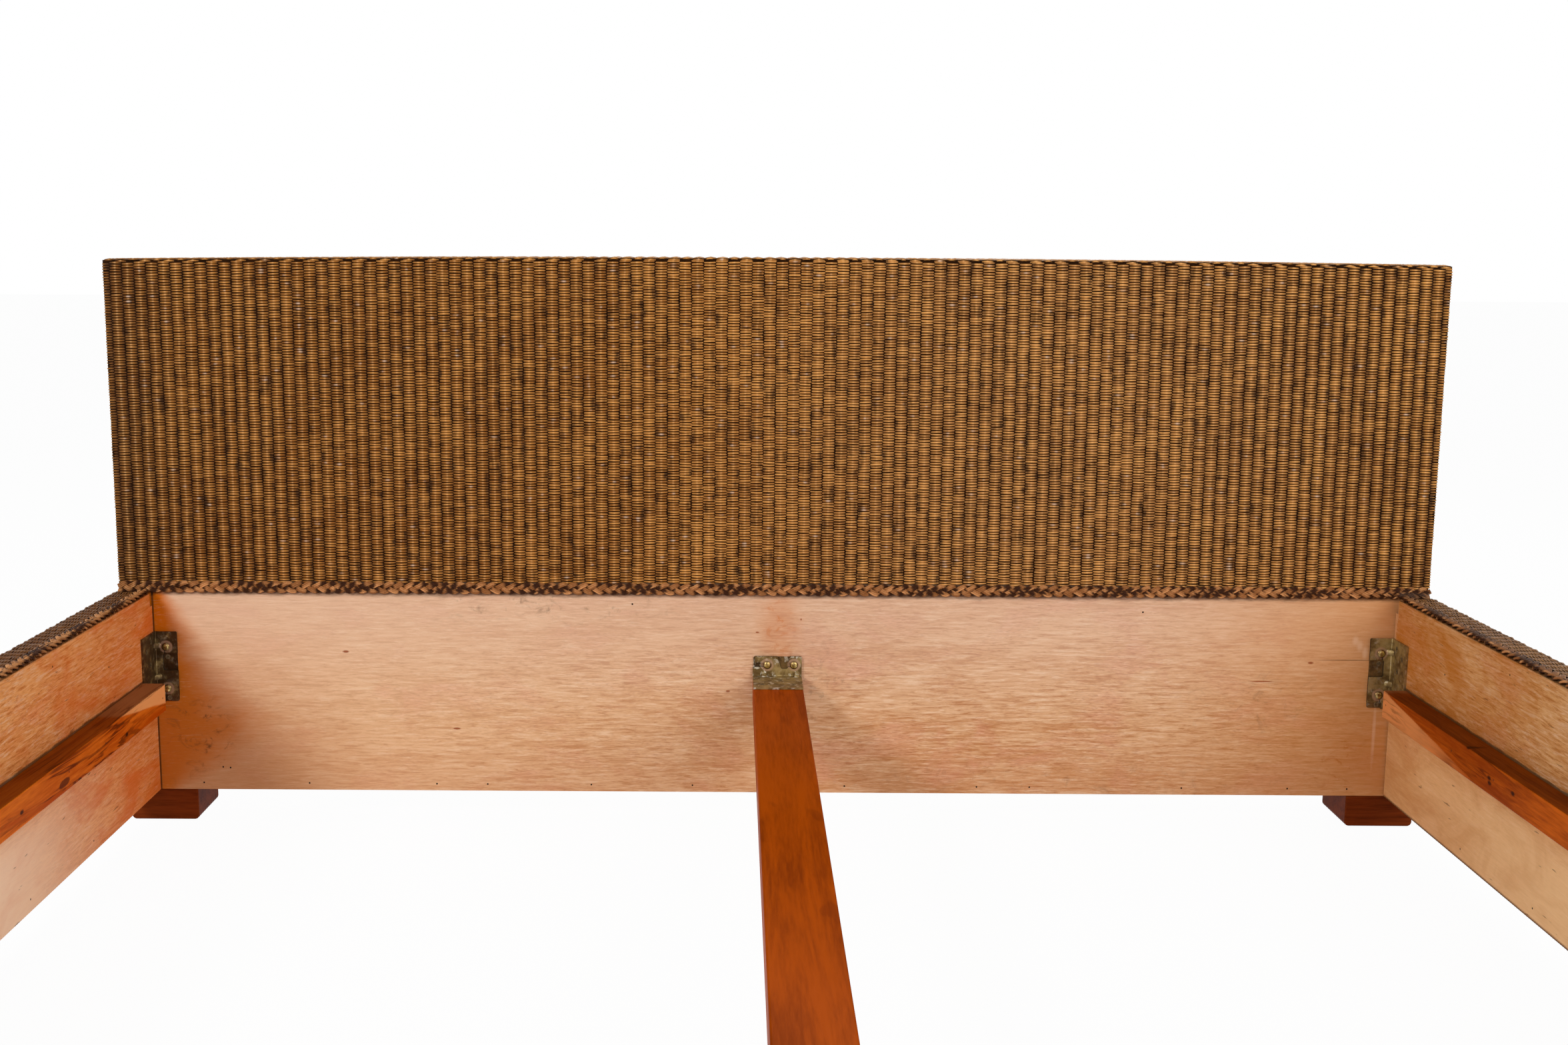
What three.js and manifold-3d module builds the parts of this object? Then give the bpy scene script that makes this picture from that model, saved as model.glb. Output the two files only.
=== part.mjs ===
// Wicker bed frame: a woven headboard and foot rail, two hook-on side rails and a hook-on centre beam.
// Millimetres, +Z up, +Y towards the headboard. The origin is on the floor under the middle of the bed.
import * as THREE from 'three';
import { mergeVertices } from 'three/addons/utils/BufferGeometryUtils.js';
import Module from 'manifold-3d';

const wasm = await Module();
wasm.setup();

// Driving dimensions of the bed. Heights are taken from the frame's underside, on top of the feet.
const innerWidth = 1850; // between the linings of the side rails
const innerLength = 2050; // between the linings of the headboard and the foot rail
const footHeight = 48;
const footWidth = 102;
const footRound = 7;
const footInset = 2; // from the outside of the woven skin above it
const fitGap = 0.3; // between pieces that are fitted to each other

// Sheet and timber stock
const liningThick = 6;
const boardThick = 6;
const skinThick = 5.5; // woven wicker with its stakes
const battenWidth = 33;
const battenHeight = 40;
const nailingMargin = 10; // of a centre block past the stud plate that is screwed to it

// Headboard
const headOverhang = 49; // past the lining of each side rail
const headHeight = 795; // at the corners
const headCrown = 6.5; // how far the top edge rises in the middle
const headDepth = 100; // from the lining's face to the back
const footDepth = headDepth;
const headPostWidth = 92;
const headUprightWidth = 44;
const headTopRailHeight = 46;
const headMidRailDrop = 26; // of the middle rail's underside below the lining's visible top

// Rails round the mattress
const liningTop = 304; // top edge of every lining that shows
const braidWidth = 19;
const braidThick = 9;
const braidLap = 2; // of a rail's braid past its lining's face
const braidRounding = 0.42; // corner radius as a share of the plait's thinner side
const hookLift = 18; // how far a side rail is lifted off its studs
const railEndGap = 3.3; // from a side rail's end to the lining it butts on
const headStep = 12; // the same above the step that lets the rail lift past the headboard's braid
const footStep = 6;
const blockLength = 90;
const railFloat = 0.5; // of a side rail above the feet it passes over
const liftPlay = 2; // between a lifted rail and the headboard's braid above its stepped end

// Ledgers and centre beam, which carry the slats at one level
const slatLevel = 180;
const ledgerWidth = 33;
const ledgerHeight = 41;
const ledgerRound = 2;
const ledgerEndPlay = 1.2; // from a ledger's end to the corner hook beside it
const beamWidth = 73;
const beamOffset = 6.5; // the beam and its plates stand this far right of the middle
const beamHeight = 42;
const beamEndGap = 3;
const beamRound = 2.5;

// Steel hook plates and the stud plates that they hang on
const plateThick = 2.5;
const receiverThick = 2;
const bendRadius = 1.5; // inside the bend of a hook plate
const studShank = 3; // radius
const studHead = 6.2; // radius
const studHeadRim = 1.1;
const studDome = 2.1;
const slotPlay = 0.4; // round a stud in its slot
const plateCorner = 2.5;
const screwHole = 2.1; // radius
const screwSink = 4.2; // radius of the countersink
const plateInset = 1; // of a stud plate inside the outline of its hook
const rivetSink = 1; // of a stud's shank into its plate
const cutPast = 1; // how far every cutting tool passes beyond the sheet
const gusset = { radius: 4.5, reach: 8, flatness: 0.55, sink: 1.6, room: 9, skin: 0.6 };
// Along a plate's span, studs and cuts are measured from the end that its slots open to.
const cornerHook = {
  span: 108,
  hookLeg: 35,
  fixLeg: 59,
  studRise: 18.5,
  studs: [21, 85],
  notch: { from: 49, to: 75, floor: 13.5, flareFrom: 0, flareTo: 0 },
  endCut: { length: 10, rise: 14 },
  gussets: [39, 87],
  screws: [[22, 96], [43, 85], [28, 63], [43, 22]],
  receiverScrews: [[20, 6], [20, 69]],
};
const centreHook = {
  span: 73,
  hookLeg: 32.5,
  fixLeg: 76,
  studRise: 19.5,
  studs: [21.5, 61.5],
  notch: { from: 41.5, to: 52.5, floor: 13.5, flareFrom: 5, flareTo: 3 },
  endCut: { length: 3, rise: 15 },
  gussets: [17.5, 66],
  screws: [[30, 40], [56, 14], [56, 59]],
  receiverScrews: [[9, 31], [9, 46]],
};
const cornerHookBase = 137; // underside of the corner plates
const centreHookBase = slatLevel;

// Worked out from the sizes above
const railThick = liningThick + battenWidth + boardThick + skinThick + 3 * fitGap;
const railTop = liningTop + fitGap + skinThick;
const stepTop = liningTop - hookLift - liftPlay;
const headHalf = innerWidth / 2 + headOverhang;
const footHalf = innerWidth / 2 + railThick;
const bedLength = headDepth + innerLength + railThick;
const centreBlock = [-1, 1].map((side) => beamOffset + side * (centreHook.span / 2 + nailingMargin));
const headPlane = bedLength / 2 - headDepth; // face of the headboard's lining
const footPlane = headPlane - innerLength; // face of the foot rail's lining

function finish(color, roughness, metalness = 0) {
  return new THREE.MeshStandardMaterial({ color, roughness, metalness });
}

const wicker = finish(0x7d5127, 0.55);
const plait = finish(0x6b4a34, 0.6);
const plywood = finish(0xd6a175, 0.7);
const pine = finish(0xc69c6d, 0.75);
const redWood = finish(0x9c430f, 0.35);
const footWood = finish(0x58210f, 0.45);
const zincSteel = finish(0x6f6337, 0.4, 0.8);
const brass = finish(0xa98a45, 0.3, 0.9);

function mesh(name, geometry, material, x = 0, y = 0, z = 0) {
  const piece = new THREE.Mesh(geometry, material);
  piece.name = name;
  piece.position.set(x, y, z);
  return piece;
}

// A box between two corners
function board(name, material, [x0, x1], [y0, y1], [z0, z1]) {
  const geometry = new THREE.BoxGeometry(Math.abs(x1 - x0), Math.abs(y1 - y0), Math.abs(z1 - z0));
  return mesh(name, geometry, material, (x0 + x1) / 2, (y0 + y1) / 2, (z0 + z1) / 2);
}

// Turns an extrusion of an upright outline, drawn in X and Z, so that it runs along Y between two values
function alongY(outline, y0, y1, curveSegments = 6) {
  const geometry = new THREE.ExtrudeGeometry(outline, { depth: y1 - y0, bevelEnabled: false, curveSegments });
  return geometry.rotateX(Math.PI / 2).translate(0, y1, 0);
}

// The same for an outline drawn in Y and Z, which runs along X
function alongX(outline, x0, x1) {
  return alongY(outline, 0, x1 - x0).rotateZ(Math.PI / 2).translate(x1, 0, 0);
}

// A rectangle whose listed corners are rounded. Corners go low-left, low-right, high-right, high-left.
function roundedOutline(x0, x1, z0, z1, [lowLeft, lowRight, highRight, highLeft]) {
  const outline = new THREE.Shape();
  outline.moveTo(x0 + lowLeft, z0);
  outline.lineTo(x1 - lowRight, z0);
  if (lowRight) outline.absarc(x1 - lowRight, z0 + lowRight, lowRight, -Math.PI / 2, 0);
  outline.lineTo(x1, z1 - highRight);
  if (highRight) outline.absarc(x1 - highRight, z1 - highRight, highRight, 0, Math.PI / 2);
  outline.lineTo(x0 + highLeft, z1);
  if (highLeft) outline.absarc(x0 + highLeft, z1 - highLeft, highLeft, Math.PI / 2, Math.PI);
  outline.lineTo(x0, z0 + lowLeft);
  if (lowLeft) outline.absarc(x0 + lowLeft, z0 + lowLeft, lowLeft, Math.PI, 1.5 * Math.PI);
  return outline;
}

// A closed three.js geometry as a solid that can be joined and cut, and back again
function solid(geometry) {
  const bare = geometry.clone();
  bare.deleteAttribute('normal');
  bare.deleteAttribute('uv');
  const merged = mergeVertices(bare, 1e-4);
  return new wasm.Manifold(new wasm.Mesh({
    numProp: 3,
    vertProperties: Float32Array.from(merged.attributes.position.array),
    triVerts: Uint32Array.from(merged.index.array),
  }));
}

function surface(shape) {
  const { vertProperties, triVerts } = shape.getMesh();
  const geometry = new THREE.BufferGeometry();
  geometry.setAttribute('position', new THREE.BufferAttribute(vertProperties, 3));
  geometry.setIndex(new THREE.BufferAttribute(triVerts, 1));
  geometry.computeVertexNormals();
  return geometry;
}

const boxSolid = ([x0, x1], [y0, y1], [z0, z1]) => solid(
  new THREE.BoxGeometry(x1 - x0, y1 - y0, z1 - z0).translate((x0 + x1) / 2, (y0 + y1) / 2, (z0 + z1) / 2),
);

// The other-handed copy of a geometry, mirrored in the plane across one axis, faces still pointing out
function mirrored(geometry, axis) {
  const flip = { x: [-1, 1, 1], y: [1, -1, 1] }[axis];
  const copy = geometry.clone().scale(...flip);
  const index = copy.index.array;
  for (let i = 0; i < index.length; i += 3) {
    [index[i], index[i + 1]] = [index[i + 1], index[i]];
  }
  copy.computeVertexNormals();
  return copy;
}

// Hook plate, left hand: bent from one sheet. X is the rise from the bend along the hooked leg, the fixing
// leg runs to -Y, and Z is the span. The lining that carries the stud plate is at Y = 0, and the fixing leg's
// seat at X = 0.
const hookBack = -(receiverThick + fitGap);

function bentSheet({ span, hookLeg, fixLeg }) {
  const outer = bendRadius + plateThick;
  const seat = fitGap;
  const section = new THREE.Shape();
  section.moveTo(hookLeg, hookBack);
  section.lineTo(hookLeg, hookBack - plateThick);
  section.lineTo(seat + outer, hookBack - plateThick);
  section.absarc(seat + outer, hookBack - outer, bendRadius, Math.PI / 2, Math.PI);
  section.lineTo(seat + plateThick, -fixLeg);
  section.lineTo(seat, -fixLeg);
  section.lineTo(seat, hookBack - outer);
  section.absarc(seat + outer, hookBack - outer, outer, Math.PI, Math.PI / 2, true);
  return solid(new THREE.ExtrudeGeometry(section, { depth: span, bevelEnabled: false, curveSegments: 6 }));
}

// Cuts through the hooked leg: an outline in X and Z, pushed through the sheet
function legCut(outline) {
  return solid(alongY(outline, hookBack - plateThick - cutPast, hookBack + cutPast));
}

// A slot for one stud, round at its seat and open towards the lower end of the span
function studSlot(rise, stud, open) {
  const half = studShank + slotPlay;
  const outline = new THREE.Shape();
  outline.moveTo(rise - half, open);
  outline.lineTo(rise + half, open);
  outline.lineTo(rise + half, stud);
  outline.absarc(rise, stud, half, 0, Math.PI);
  outline.lineTo(rise - half, open);
  return legCut(outline);
}

// The notch in the free edge, through which the far stud enters its slot
function entryNotch({ notch, hookLeg }) {
  const past = hookLeg + cutPast;
  const outline = new THREE.Shape();
  outline.moveTo(notch.floor + plateCorner, notch.from);
  outline.lineTo(past, notch.from - notch.flareFrom);
  outline.lineTo(past, notch.to + notch.flareTo);
  outline.lineTo(notch.floor + plateCorner, notch.to);
  outline.absarc(notch.floor + plateCorner, notch.to - plateCorner, plateCorner, Math.PI / 2, Math.PI);
  outline.lineTo(notch.floor, notch.from + plateCorner);
  outline.absarc(notch.floor + plateCorner, notch.from + plateCorner, plateCorner, Math.PI, 1.5 * Math.PI);
  return legCut(outline);
}

// Rounds off one corner of the hooked leg's free edge
function cornerTrim(hookLeg, end, towards) {
  const outline = new THREE.Shape();
  const inset = end + towards * plateCorner;
  outline.moveTo(hookLeg - plateCorner, end - towards);
  outline.lineTo(hookLeg + cutPast, end - towards);
  outline.lineTo(hookLeg + cutPast, inset);
  outline.lineTo(hookLeg, inset);
  outline.absarc(hookLeg - plateCorner, inset, plateCorner, 0, -towards * Math.PI / 2, towards > 0);
  outline.lineTo(hookLeg - plateCorner, end - towards);
  return legCut(outline);
}

// A countersunk hole through the fixing leg
function sunkHole(along, up) {
  const past = (cutPast * (screwSink - screwHole)) / plateThick;
  const cone = new THREE.CylinderGeometry(screwHole - past, screwSink + past, plateThick + 2 * cutPast, 16);
  return solid(cone.rotateZ(Math.PI / 2).translate(fitGap + plateThick / 2, -along, up));
}

// A stiffening rib pressed across the bend, kept inside the outer faces of the sheet
function gussetRib(up) {
  const { radius, reach, flatness, sink, room, skin } = gusset;
  const rib = new THREE.CylinderGeometry(radius, radius, reach * Math.SQRT2, 14);
  const middle = reach / 2 - sink;
  rib.scale(flatness, 1, 1).rotateZ(-Math.PI / 4);
  rib.translate(fitGap + plateThick + middle, hookBack - plateThick - middle, up);
  const extent = reach + plateThick;
  const [x0, y1] = [fitGap + skin, hookBack - skin];
  const keep = boxSolid([x0, fitGap + extent], [hookBack - extent, y1], [up - room, up + room]);
  return solid(rib).intersect(keep);
}

function hookPlate(spec) {
  const { span, hookLeg, studRise, studs, notch, endCut } = spec;
  let plate = bentSheet(spec);
  for (const up of spec.gussets) plate = plate.add(gussetRib(up));
  plate = plate.subtract(studSlot(studRise, studs[0], -cutPast));
  plate = plate.subtract(studSlot(studRise, studs[1], notch.to - cutPast - notch.flareTo));
  plate = plate.subtract(entryNotch(spec));
  plate = plate.subtract(cornerTrim(hookLeg, span, -1));
  const lip = roundedOutline(endCut.rise, hookLeg + cutPast, -cutPast, endCut.length, [0, 0, 0, 1]);
  plate = plate.subtract(legCut(lip));
  for (const [along, up] of spec.screws) plate = plate.subtract(sunkHole(along, up));
  return surface(plate);
}

// Stud plate, in the same place: a flat plate on the lining with two headed studs riveted to it
function studPlate({ span, hookLeg, studRise, studs, receiverScrews }) {
  const corners = Array(4).fill(plateCorner);
  const outline = roundedOutline(plateInset, hookLeg - plateInset, plateInset, span - plateInset, corners);
  let plate = solid(alongY(outline, -receiverThick, -fitGap / 2));
  const reach = plateThick + 2 * fitGap; // from the stud plate to the back of a head
  const profile = [
    [0, -rivetSink],
    [studShank, -rivetSink],
    [studShank, reach],
    [studHead, reach],
    [studHead, reach + studHeadRim],
    [studHead * 0.8, reach + studHeadRim + studDome * 0.62],
    [studHead * 0.42, reach + studHeadRim + studDome * 0.95],
    [0, reach + studHeadRim + studDome],
  ].map(([r, h]) => new THREE.Vector2(r, h));
  for (const up of studs) {
    const stud = new THREE.LatheGeometry(profile, 20);
    plate = plate.add(solid(stud.rotateX(Math.PI).translate(studRise, -receiverThick, up)));
  }
  for (const [rise, up] of receiverScrews) {
    const cone = new THREE.CylinderGeometry(screwHole, screwSink, receiverThick + cutPast, 16);
    plate = plate.subtract(solid(cone.rotateX(Math.PI).translate(rise, -receiverThick / 2, up)));
  }
  return surface(plate);
}

const cornerPlates = { hook: hookPlate(cornerHook), stud: studPlate(cornerHook) };
const centrePlates = { hook: hookPlate(centreHook), stud: studPlate(centreHook) };

// Corner plates stand upright: side -1 is the left of the bed, and the foot end is the head end mirrored
function cornerGeometry(kind, side, atFoot) {
  let geometry = cornerPlates[kind];
  if (side > 0) geometry = mirrored(geometry, 'x');
  return atFoot ? mirrored(geometry, 'y') : geometry;
}

// Centre plates lie on the beam with the span across it, so that every slot opens to the left
function centreGeometry(kind, atFoot) {
  const turned = mirrored(centrePlates[kind], 'x').rotateY(Math.PI / 2).translate(-centreHook.span / 2, 0, 0);
  return atFoot ? mirrored(turned, 'y') : turned;
}

// Stud plates of the headboard or the foot rail, for a lining whose face is at the given Y
function studPlates(end, y) {
  const atFoot = end === 'foot';
  const plates = [-1, 1].map((side) => {
    const name = `${end}board_stud_plate_${side < 0 ? 'left' : 'right'}`;
    return mesh(name, cornerGeometry('stud', side, atFoot), brass, (side * innerWidth) / 2, y, cornerHookBase);
  });
  const centre = centreGeometry('stud', atFoot);
  return [...plates, mesh(`${end}board_stud_plate_centre`, centre, brass, beamOffset, y, centreHookBase)];
}

// Foot blocks under the corners of the headboard and the foot rail, in the frame of the end they carry
function footBlocks(end, half) {
  return [-1, 1].map((side) => {
    const outer = half - footInset;
    const [x0, x1] = [side * outer, side * (outer - footWidth)].sort((p, q) => p - q);
    const outline = roundedOutline(x0, x1, -footHeight, -fitGap, [footRound, footRound, 0, 0]);
    const back = end === 'head' ? headDepth - footDepth : railThick - footDepth;
    const name = `${end}board_foot_${side * (end === 'head' ? 1 : -1) < 0 ? 'left' : 'right'}`;
    return mesh(name, alongY(outline, back, back + footDepth), footWood);
  });
}

// A flat board outline whose top edge is crowned like the headboard's
function crownedOutline(half, z0, z1) {
  const outline = new THREE.Shape();
  outline.moveTo(-half, z0);
  outline.lineTo(half, z0);
  outline.lineTo(half, z1);
  outline.quadraticCurveTo(0, z1 + 2 * headCrown, -half, z1);
  outline.lineTo(-half, z0);
  return outline;
}

const crowned = (half, z0, z1, y0, y1) => alongY(crownedOutline(half, z0, z1), y0, y1, 24);

function braidOutline(x0, x1, z0, z1) {
  const round = Math.min(x1 - x0, z1 - z0) * braidRounding;
  return roundedOutline(x0, x1, z0, z1, Array(4).fill(round));
}

// Headboard, in its own frame: Y = 0 is the lining's face and +Y goes to the back
function headboard() {
  const group = new THREE.Group();
  group.position.set(0, headPlane, footHeight);
  const half = headHalf - skinThick - fitGap;
  const top = headHeight - skinThick - fitGap;
  const backInside = headDepth - skinThick - fitGap;
  const frameDepth = [liningThick + fitGap, backInside - boardThick - fitGap];
  const railUnder = top - headTopRailHeight;
  const postTop = railUnder - fitGap;
  const innerHalf = half - headPostWidth - fitGap;
  const midUnder = liningTop - headMidRailDrop;
  const midTop = midUnder + battenHeight;

  group.add(mesh('headboard_lining', crowned(half, 0, top, 0, liningThick), plywood));
  const backPanel = crowned(half, 0, top, backInside - boardThick, backInside);
  group.add(mesh('headboard_back_panel', backPanel, plywood));
  group.add(mesh('headboard_top_rail', crowned(half, railUnder, top, ...frameDepth), pine));
  for (const side of [-1, 1]) {
    const tag = side < 0 ? 'left' : 'right';
    const post = [side * half, side * (half - headPostWidth)];
    group.add(board(`headboard_post_${tag}`, pine, post, frameDepth, [0, postTop]));
    const uprightMiddle = side * innerHalf / 3;
    const upright = [uprightMiddle - headUprightWidth / 2, uprightMiddle + headUprightWidth / 2];
    group.add(board(`headboard_upright_${tag}`, pine, upright, frameDepth, [midTop + fitGap, postTop]));
  }
  group.add(board('headboard_middle_rail', pine, [-innerHalf, innerHalf], frameDepth, [midUnder, midTop]));
  group.add(board('headboard_bottom_rail', pine, [-innerHalf, innerHalf], frameDepth, [0, battenHeight]));
  const blockHeight = [battenHeight + fitGap, midUnder - fitGap];
  group.add(board('headboard_centre_block', pine, centreBlock, frameDepth, blockHeight));

  // The woven skin wraps the front above the braid, both edges, the top and the back
  const skinFoot = liningTop + braidWidth + 2 * fitGap;
  const shell = solid(crowned(headHalf, 0, headHeight, -skinThick, headDepth));
  const inside = [headHalf - skinThick, -cutPast, headHeight - skinThick];
  const pocket = solid(crowned(...inside, -fitGap, headDepth - skinThick));
  const [past, front] = [headHalf + cutPast, skinThick + cutPast];
  const openFront = boxSolid([-past, past], [-front, 0], [-cutPast, skinFoot]);
  group.add(mesh('headboard_skin', surface(shell.subtract(pocket).subtract(openFront)), wicker));

  const plaitFoot = liningTop + fitGap;
  const plaitOutline = braidOutline(-braidThick - fitGap, -fitGap, plaitFoot, plaitFoot + braidWidth);
  group.add(mesh('headboard_braid', alongX(plaitOutline, -headHalf, headHalf), plait));
  group.add(...footBlocks('head', headHalf), ...studPlates('head', 0));
  return group;
}

// Section of a rail, drawn outwards from its lining's face
const railSection = {
  lining: [0, liningThick],
  batten: [liningThick + fitGap, liningThick + fitGap + battenWidth],
  board: [railThick - skinThick - fitGap - boardThick, railThick - skinThick - fitGap],
  skin: [railThick - skinThick, railThick],
  braid: [-braidLap, braidWidth - braidLap],
};

// The woven skin of a rail covers its outer side and its top, up to the braid
function skinOutline(side, low) {
  const [inside, outside] = railSection.skin;
  const lip = railSection.braid[1] + fitGap;
  const outline = new THREE.Shape();
  outline.moveTo(side * inside, low);
  outline.lineTo(side * outside, low);
  outline.lineTo(side * outside, railTop);
  outline.lineTo(side * lip, railTop);
  outline.lineTo(side * lip, railTop - skinThick);
  outline.lineTo(side * inside, railTop - skinThick);
  outline.lineTo(side * inside, low);
  return outline;
}

// Side view of a side rail's boards, stepped at both ends to pass the braids when the rail is lifted
function steppedOutline(low) {
  const outline = new THREE.Shape();
  outline.moveTo(footPlane + railEndGap, low);
  outline.lineTo(headPlane - railEndGap, low);
  outline.lineTo(headPlane - railEndGap, stepTop);
  outline.lineTo(headPlane - headStep, stepTop);
  outline.lineTo(headPlane - headStep, liningTop);
  outline.lineTo(footPlane + footStep, liningTop);
  outline.lineTo(footPlane + footStep, stepTop);
  outline.lineTo(footPlane + railEndGap, stepTop);
  outline.lineTo(footPlane + railEndGap, low);
  return outline;
}

// Side view of one end block, with the same step
function blockOutline(plane, inwards, step, low) {
  const [end, shoulder, inner] = [railEndGap, step, railEndGap + blockLength].map((d) => plane + inwards * d);
  const outline = new THREE.Shape();
  outline.moveTo(end, low);
  outline.lineTo(inner, low);
  outline.lineTo(inner, liningTop);
  outline.lineTo(shoulder, liningTop);
  outline.lineTo(shoulder, stepTop);
  outline.lineTo(end, stepTop);
  outline.lineTo(end, low);
  return outline;
}

// A side rail, in a frame on its lining's face: side -1 is the left rail
function sideRail(side) {
  const tag = side < 0 ? 'left' : 'right';
  const group = new THREE.Group();
  group.position.set(side * innerWidth / 2, 0, footHeight);
  const out = ([a, b]) => [side * a, side * b].sort((p, q) => p - q);
  const topLength = [footPlane + footStep, headPlane - headStep];
  const low = railFloat;
  const { lining, batten, board: outer, braid } = railSection;

  group.add(mesh(`${tag}_rail_lining`, alongX(steppedOutline(low), ...out(lining)), plywood));
  group.add(mesh(`${tag}_rail_outer_board`, alongX(steppedOutline(low), ...out(outer)), plywood));
  const ends = [[footPlane, 1, footStep, 'foot'], [headPlane, -1, headStep, 'head']];
  for (const [plane, inwards, step, end] of ends) {
    const outline = blockOutline(plane, inwards, step, low);
    group.add(mesh(`${tag}_rail_${end}_block`, alongX(outline, ...out(batten)), pine));
  }
  const blocks = railEndGap + blockLength + fitGap;
  const between = [footPlane + blocks, headPlane - blocks];
  const topBatten = [liningTop - battenHeight, liningTop];
  group.add(board(`${tag}_rail_top_batten`, pine, out(batten), between, topBatten));
  group.add(board(`${tag}_rail_bottom_batten`, pine, out(batten), between, [low, battenHeight]));

  // The woven skin follows the steps
  const past = railThick + cutPast;
  const steps = ends.map(([plane, inwards, step]) => {
    const cut = [plane, plane + inwards * step].sort((p, q) => p - q);
    return boxSolid([-past, past], cut, [stepTop, railTop + cutPast]);
  });
  let skin = solid(alongY(skinOutline(side, low), footPlane + railEndGap, headPlane - railEndGap));
  for (const step of steps) skin = skin.subtract(step);
  group.add(mesh(`${tag}_rail_skin`, surface(skin), wicker));
  const plaitOutline = braidOutline(...out(braid), liningTop + fitGap, liningTop + fitGap + braidThick);
  group.add(mesh(`${tag}_rail_braid`, alongY(plaitOutline, ...topLength), plait));

  const inset = cornerHook.fixLeg + ledgerEndPlay;
  const corners = side < 0 ? [0, ledgerRound, ledgerRound, 0] : [ledgerRound, 0, 0, ledgerRound];
  const width = out([-fitGap, -fitGap - ledgerWidth]);
  const ledger = roundedOutline(...width, slatLevel - ledgerHeight, slatLevel, corners);
  group.add(mesh(`${tag}_rail_ledger`, alongY(ledger, footPlane + inset, headPlane - inset), redWood));

  for (const [plane, , , end] of ends) {
    const hook = cornerGeometry('hook', side, end === 'foot');
    group.add(mesh(`${tag}_rail_${end}_hook`, hook, zincSteel, 0, plane, cornerHookBase));
  }
  return group;
}

// The foot rail is drawn like the headboard, with +Y going outwards, and turned round to the foot end
function footRail() {
  const group = new THREE.Group();
  group.position.set(0, footPlane, footHeight);
  group.rotation.z = Math.PI;
  const half = footHalf - skinThick - fitGap;
  const { lining, batten, board: outer, braid } = railSection;
  const topUnder = liningTop - battenHeight;
  const blockWidth = headPostWidth;
  const between = half - blockWidth - fitGap;

  group.add(board('footboard_lining', plywood, [-half, half], lining, [0, liningTop]));
  group.add(board('footboard_outer_board', plywood, [-half, half], outer, [0, liningTop]));
  group.add(board('footboard_top_batten', pine, [-half, half], batten, [topUnder, liningTop]));
  group.add(board('footboard_bottom_batten', pine, [-between, between], batten, [0, battenHeight]));
  for (const side of [-1, 1]) {
    const tag = side > 0 ? 'left' : 'right'; // this group is turned round
    const block = [side * half, side * (half - blockWidth)];
    group.add(board(`footboard_block_${tag}`, pine, block, batten, [0, topUnder - fitGap]));
  }
  const blockHeight = [battenHeight + fitGap, topUnder - fitGap];
  group.add(board('footboard_centre_block', pine, centreBlock, batten, blockHeight));

  // Woven skin over the outer side, the top and both ends
  const shell = boxSolid([-footHalf, footHalf], [0, railThick], [0, railTop]);
  const [inHalf, past] = [footHalf - skinThick, footHalf + cutPast];
  const depth = [-cutPast, railThick - skinThick];
  const pocket = boxSolid([-inHalf, inHalf], depth, [-cutPast, railTop - skinThick]);
  const lap = [-cutPast, braid[1] + fitGap];
  const braidRoom = boxSolid([-past, past], lap, [liningTop, railTop + cutPast]);
  group.add(mesh('footboard_skin', surface(shell.subtract(pocket).subtract(braidRoom)), wicker));

  const plaitOutline = braidOutline(...braid, liningTop + fitGap, liningTop + fitGap + braidThick);
  group.add(mesh('footboard_braid', alongX(plaitOutline, -footHalf, footHalf), plait));
  group.add(...footBlocks('foot', footHalf));
  return group;
}

function centreBeam() {
  const group = new THREE.Group();
  group.position.set(beamOffset, 0, footHeight);
  const half = beamWidth / 2;
  const outline = roundedOutline(-half, half, slatLevel - beamHeight, slatLevel, Array(4).fill(beamRound));
  group.add(mesh('centre_beam', alongY(outline, footPlane + beamEndGap, headPlane - beamEndGap), redWood));
  group.add(mesh('beam_head_hook', centreGeometry('hook', false), zincSteel, 0, headPlane, centreHookBase));
  group.add(mesh('beam_foot_hook', centreGeometry('hook', true), zincSteel, 0, footPlane, centreHookBase));
  return group;
}

const footStuds = new THREE.Group();
footStuds.position.set(0, 0, footHeight);
footStuds.add(...studPlates('foot', footPlane));

const bed = new THREE.Group();
bed.add(headboard(), footRail(), footStuds, sideRail(-1), sideRail(1), centreBeam());
export default bed;
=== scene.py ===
"""A wicker bed: woven headboard and foot rail on block feet, hook-on side rails and a hook-on centre beam."""

import itertools
import math

import bmesh
import bpy
from mathutils import Matrix, Vector


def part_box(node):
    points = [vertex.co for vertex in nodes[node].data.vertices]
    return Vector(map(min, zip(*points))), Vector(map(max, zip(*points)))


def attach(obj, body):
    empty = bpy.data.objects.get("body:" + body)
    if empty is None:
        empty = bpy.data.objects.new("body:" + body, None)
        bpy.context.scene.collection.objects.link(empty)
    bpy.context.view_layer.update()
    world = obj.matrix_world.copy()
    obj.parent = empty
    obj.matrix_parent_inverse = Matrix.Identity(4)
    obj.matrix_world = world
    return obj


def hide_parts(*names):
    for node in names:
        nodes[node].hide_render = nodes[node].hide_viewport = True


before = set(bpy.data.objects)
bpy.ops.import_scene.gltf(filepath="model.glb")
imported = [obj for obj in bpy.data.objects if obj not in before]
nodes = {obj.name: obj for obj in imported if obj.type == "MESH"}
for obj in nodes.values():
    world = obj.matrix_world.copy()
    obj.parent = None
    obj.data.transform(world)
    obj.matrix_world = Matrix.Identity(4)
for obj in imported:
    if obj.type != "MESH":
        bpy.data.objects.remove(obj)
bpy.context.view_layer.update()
MM = 0.001

# CAMERA
# It stands just past the foot end, a little left of the middle and 0.86 m above the floor, and looks slightly
# down at the headboard. The foot rail lies below the picture.


def new_object(name, data):
    """An object with this data, linked to the scene."""
    made = bpy.data.objects.new(name, data)
    bpy.context.scene.collection.objects.link(made)
    return made


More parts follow.
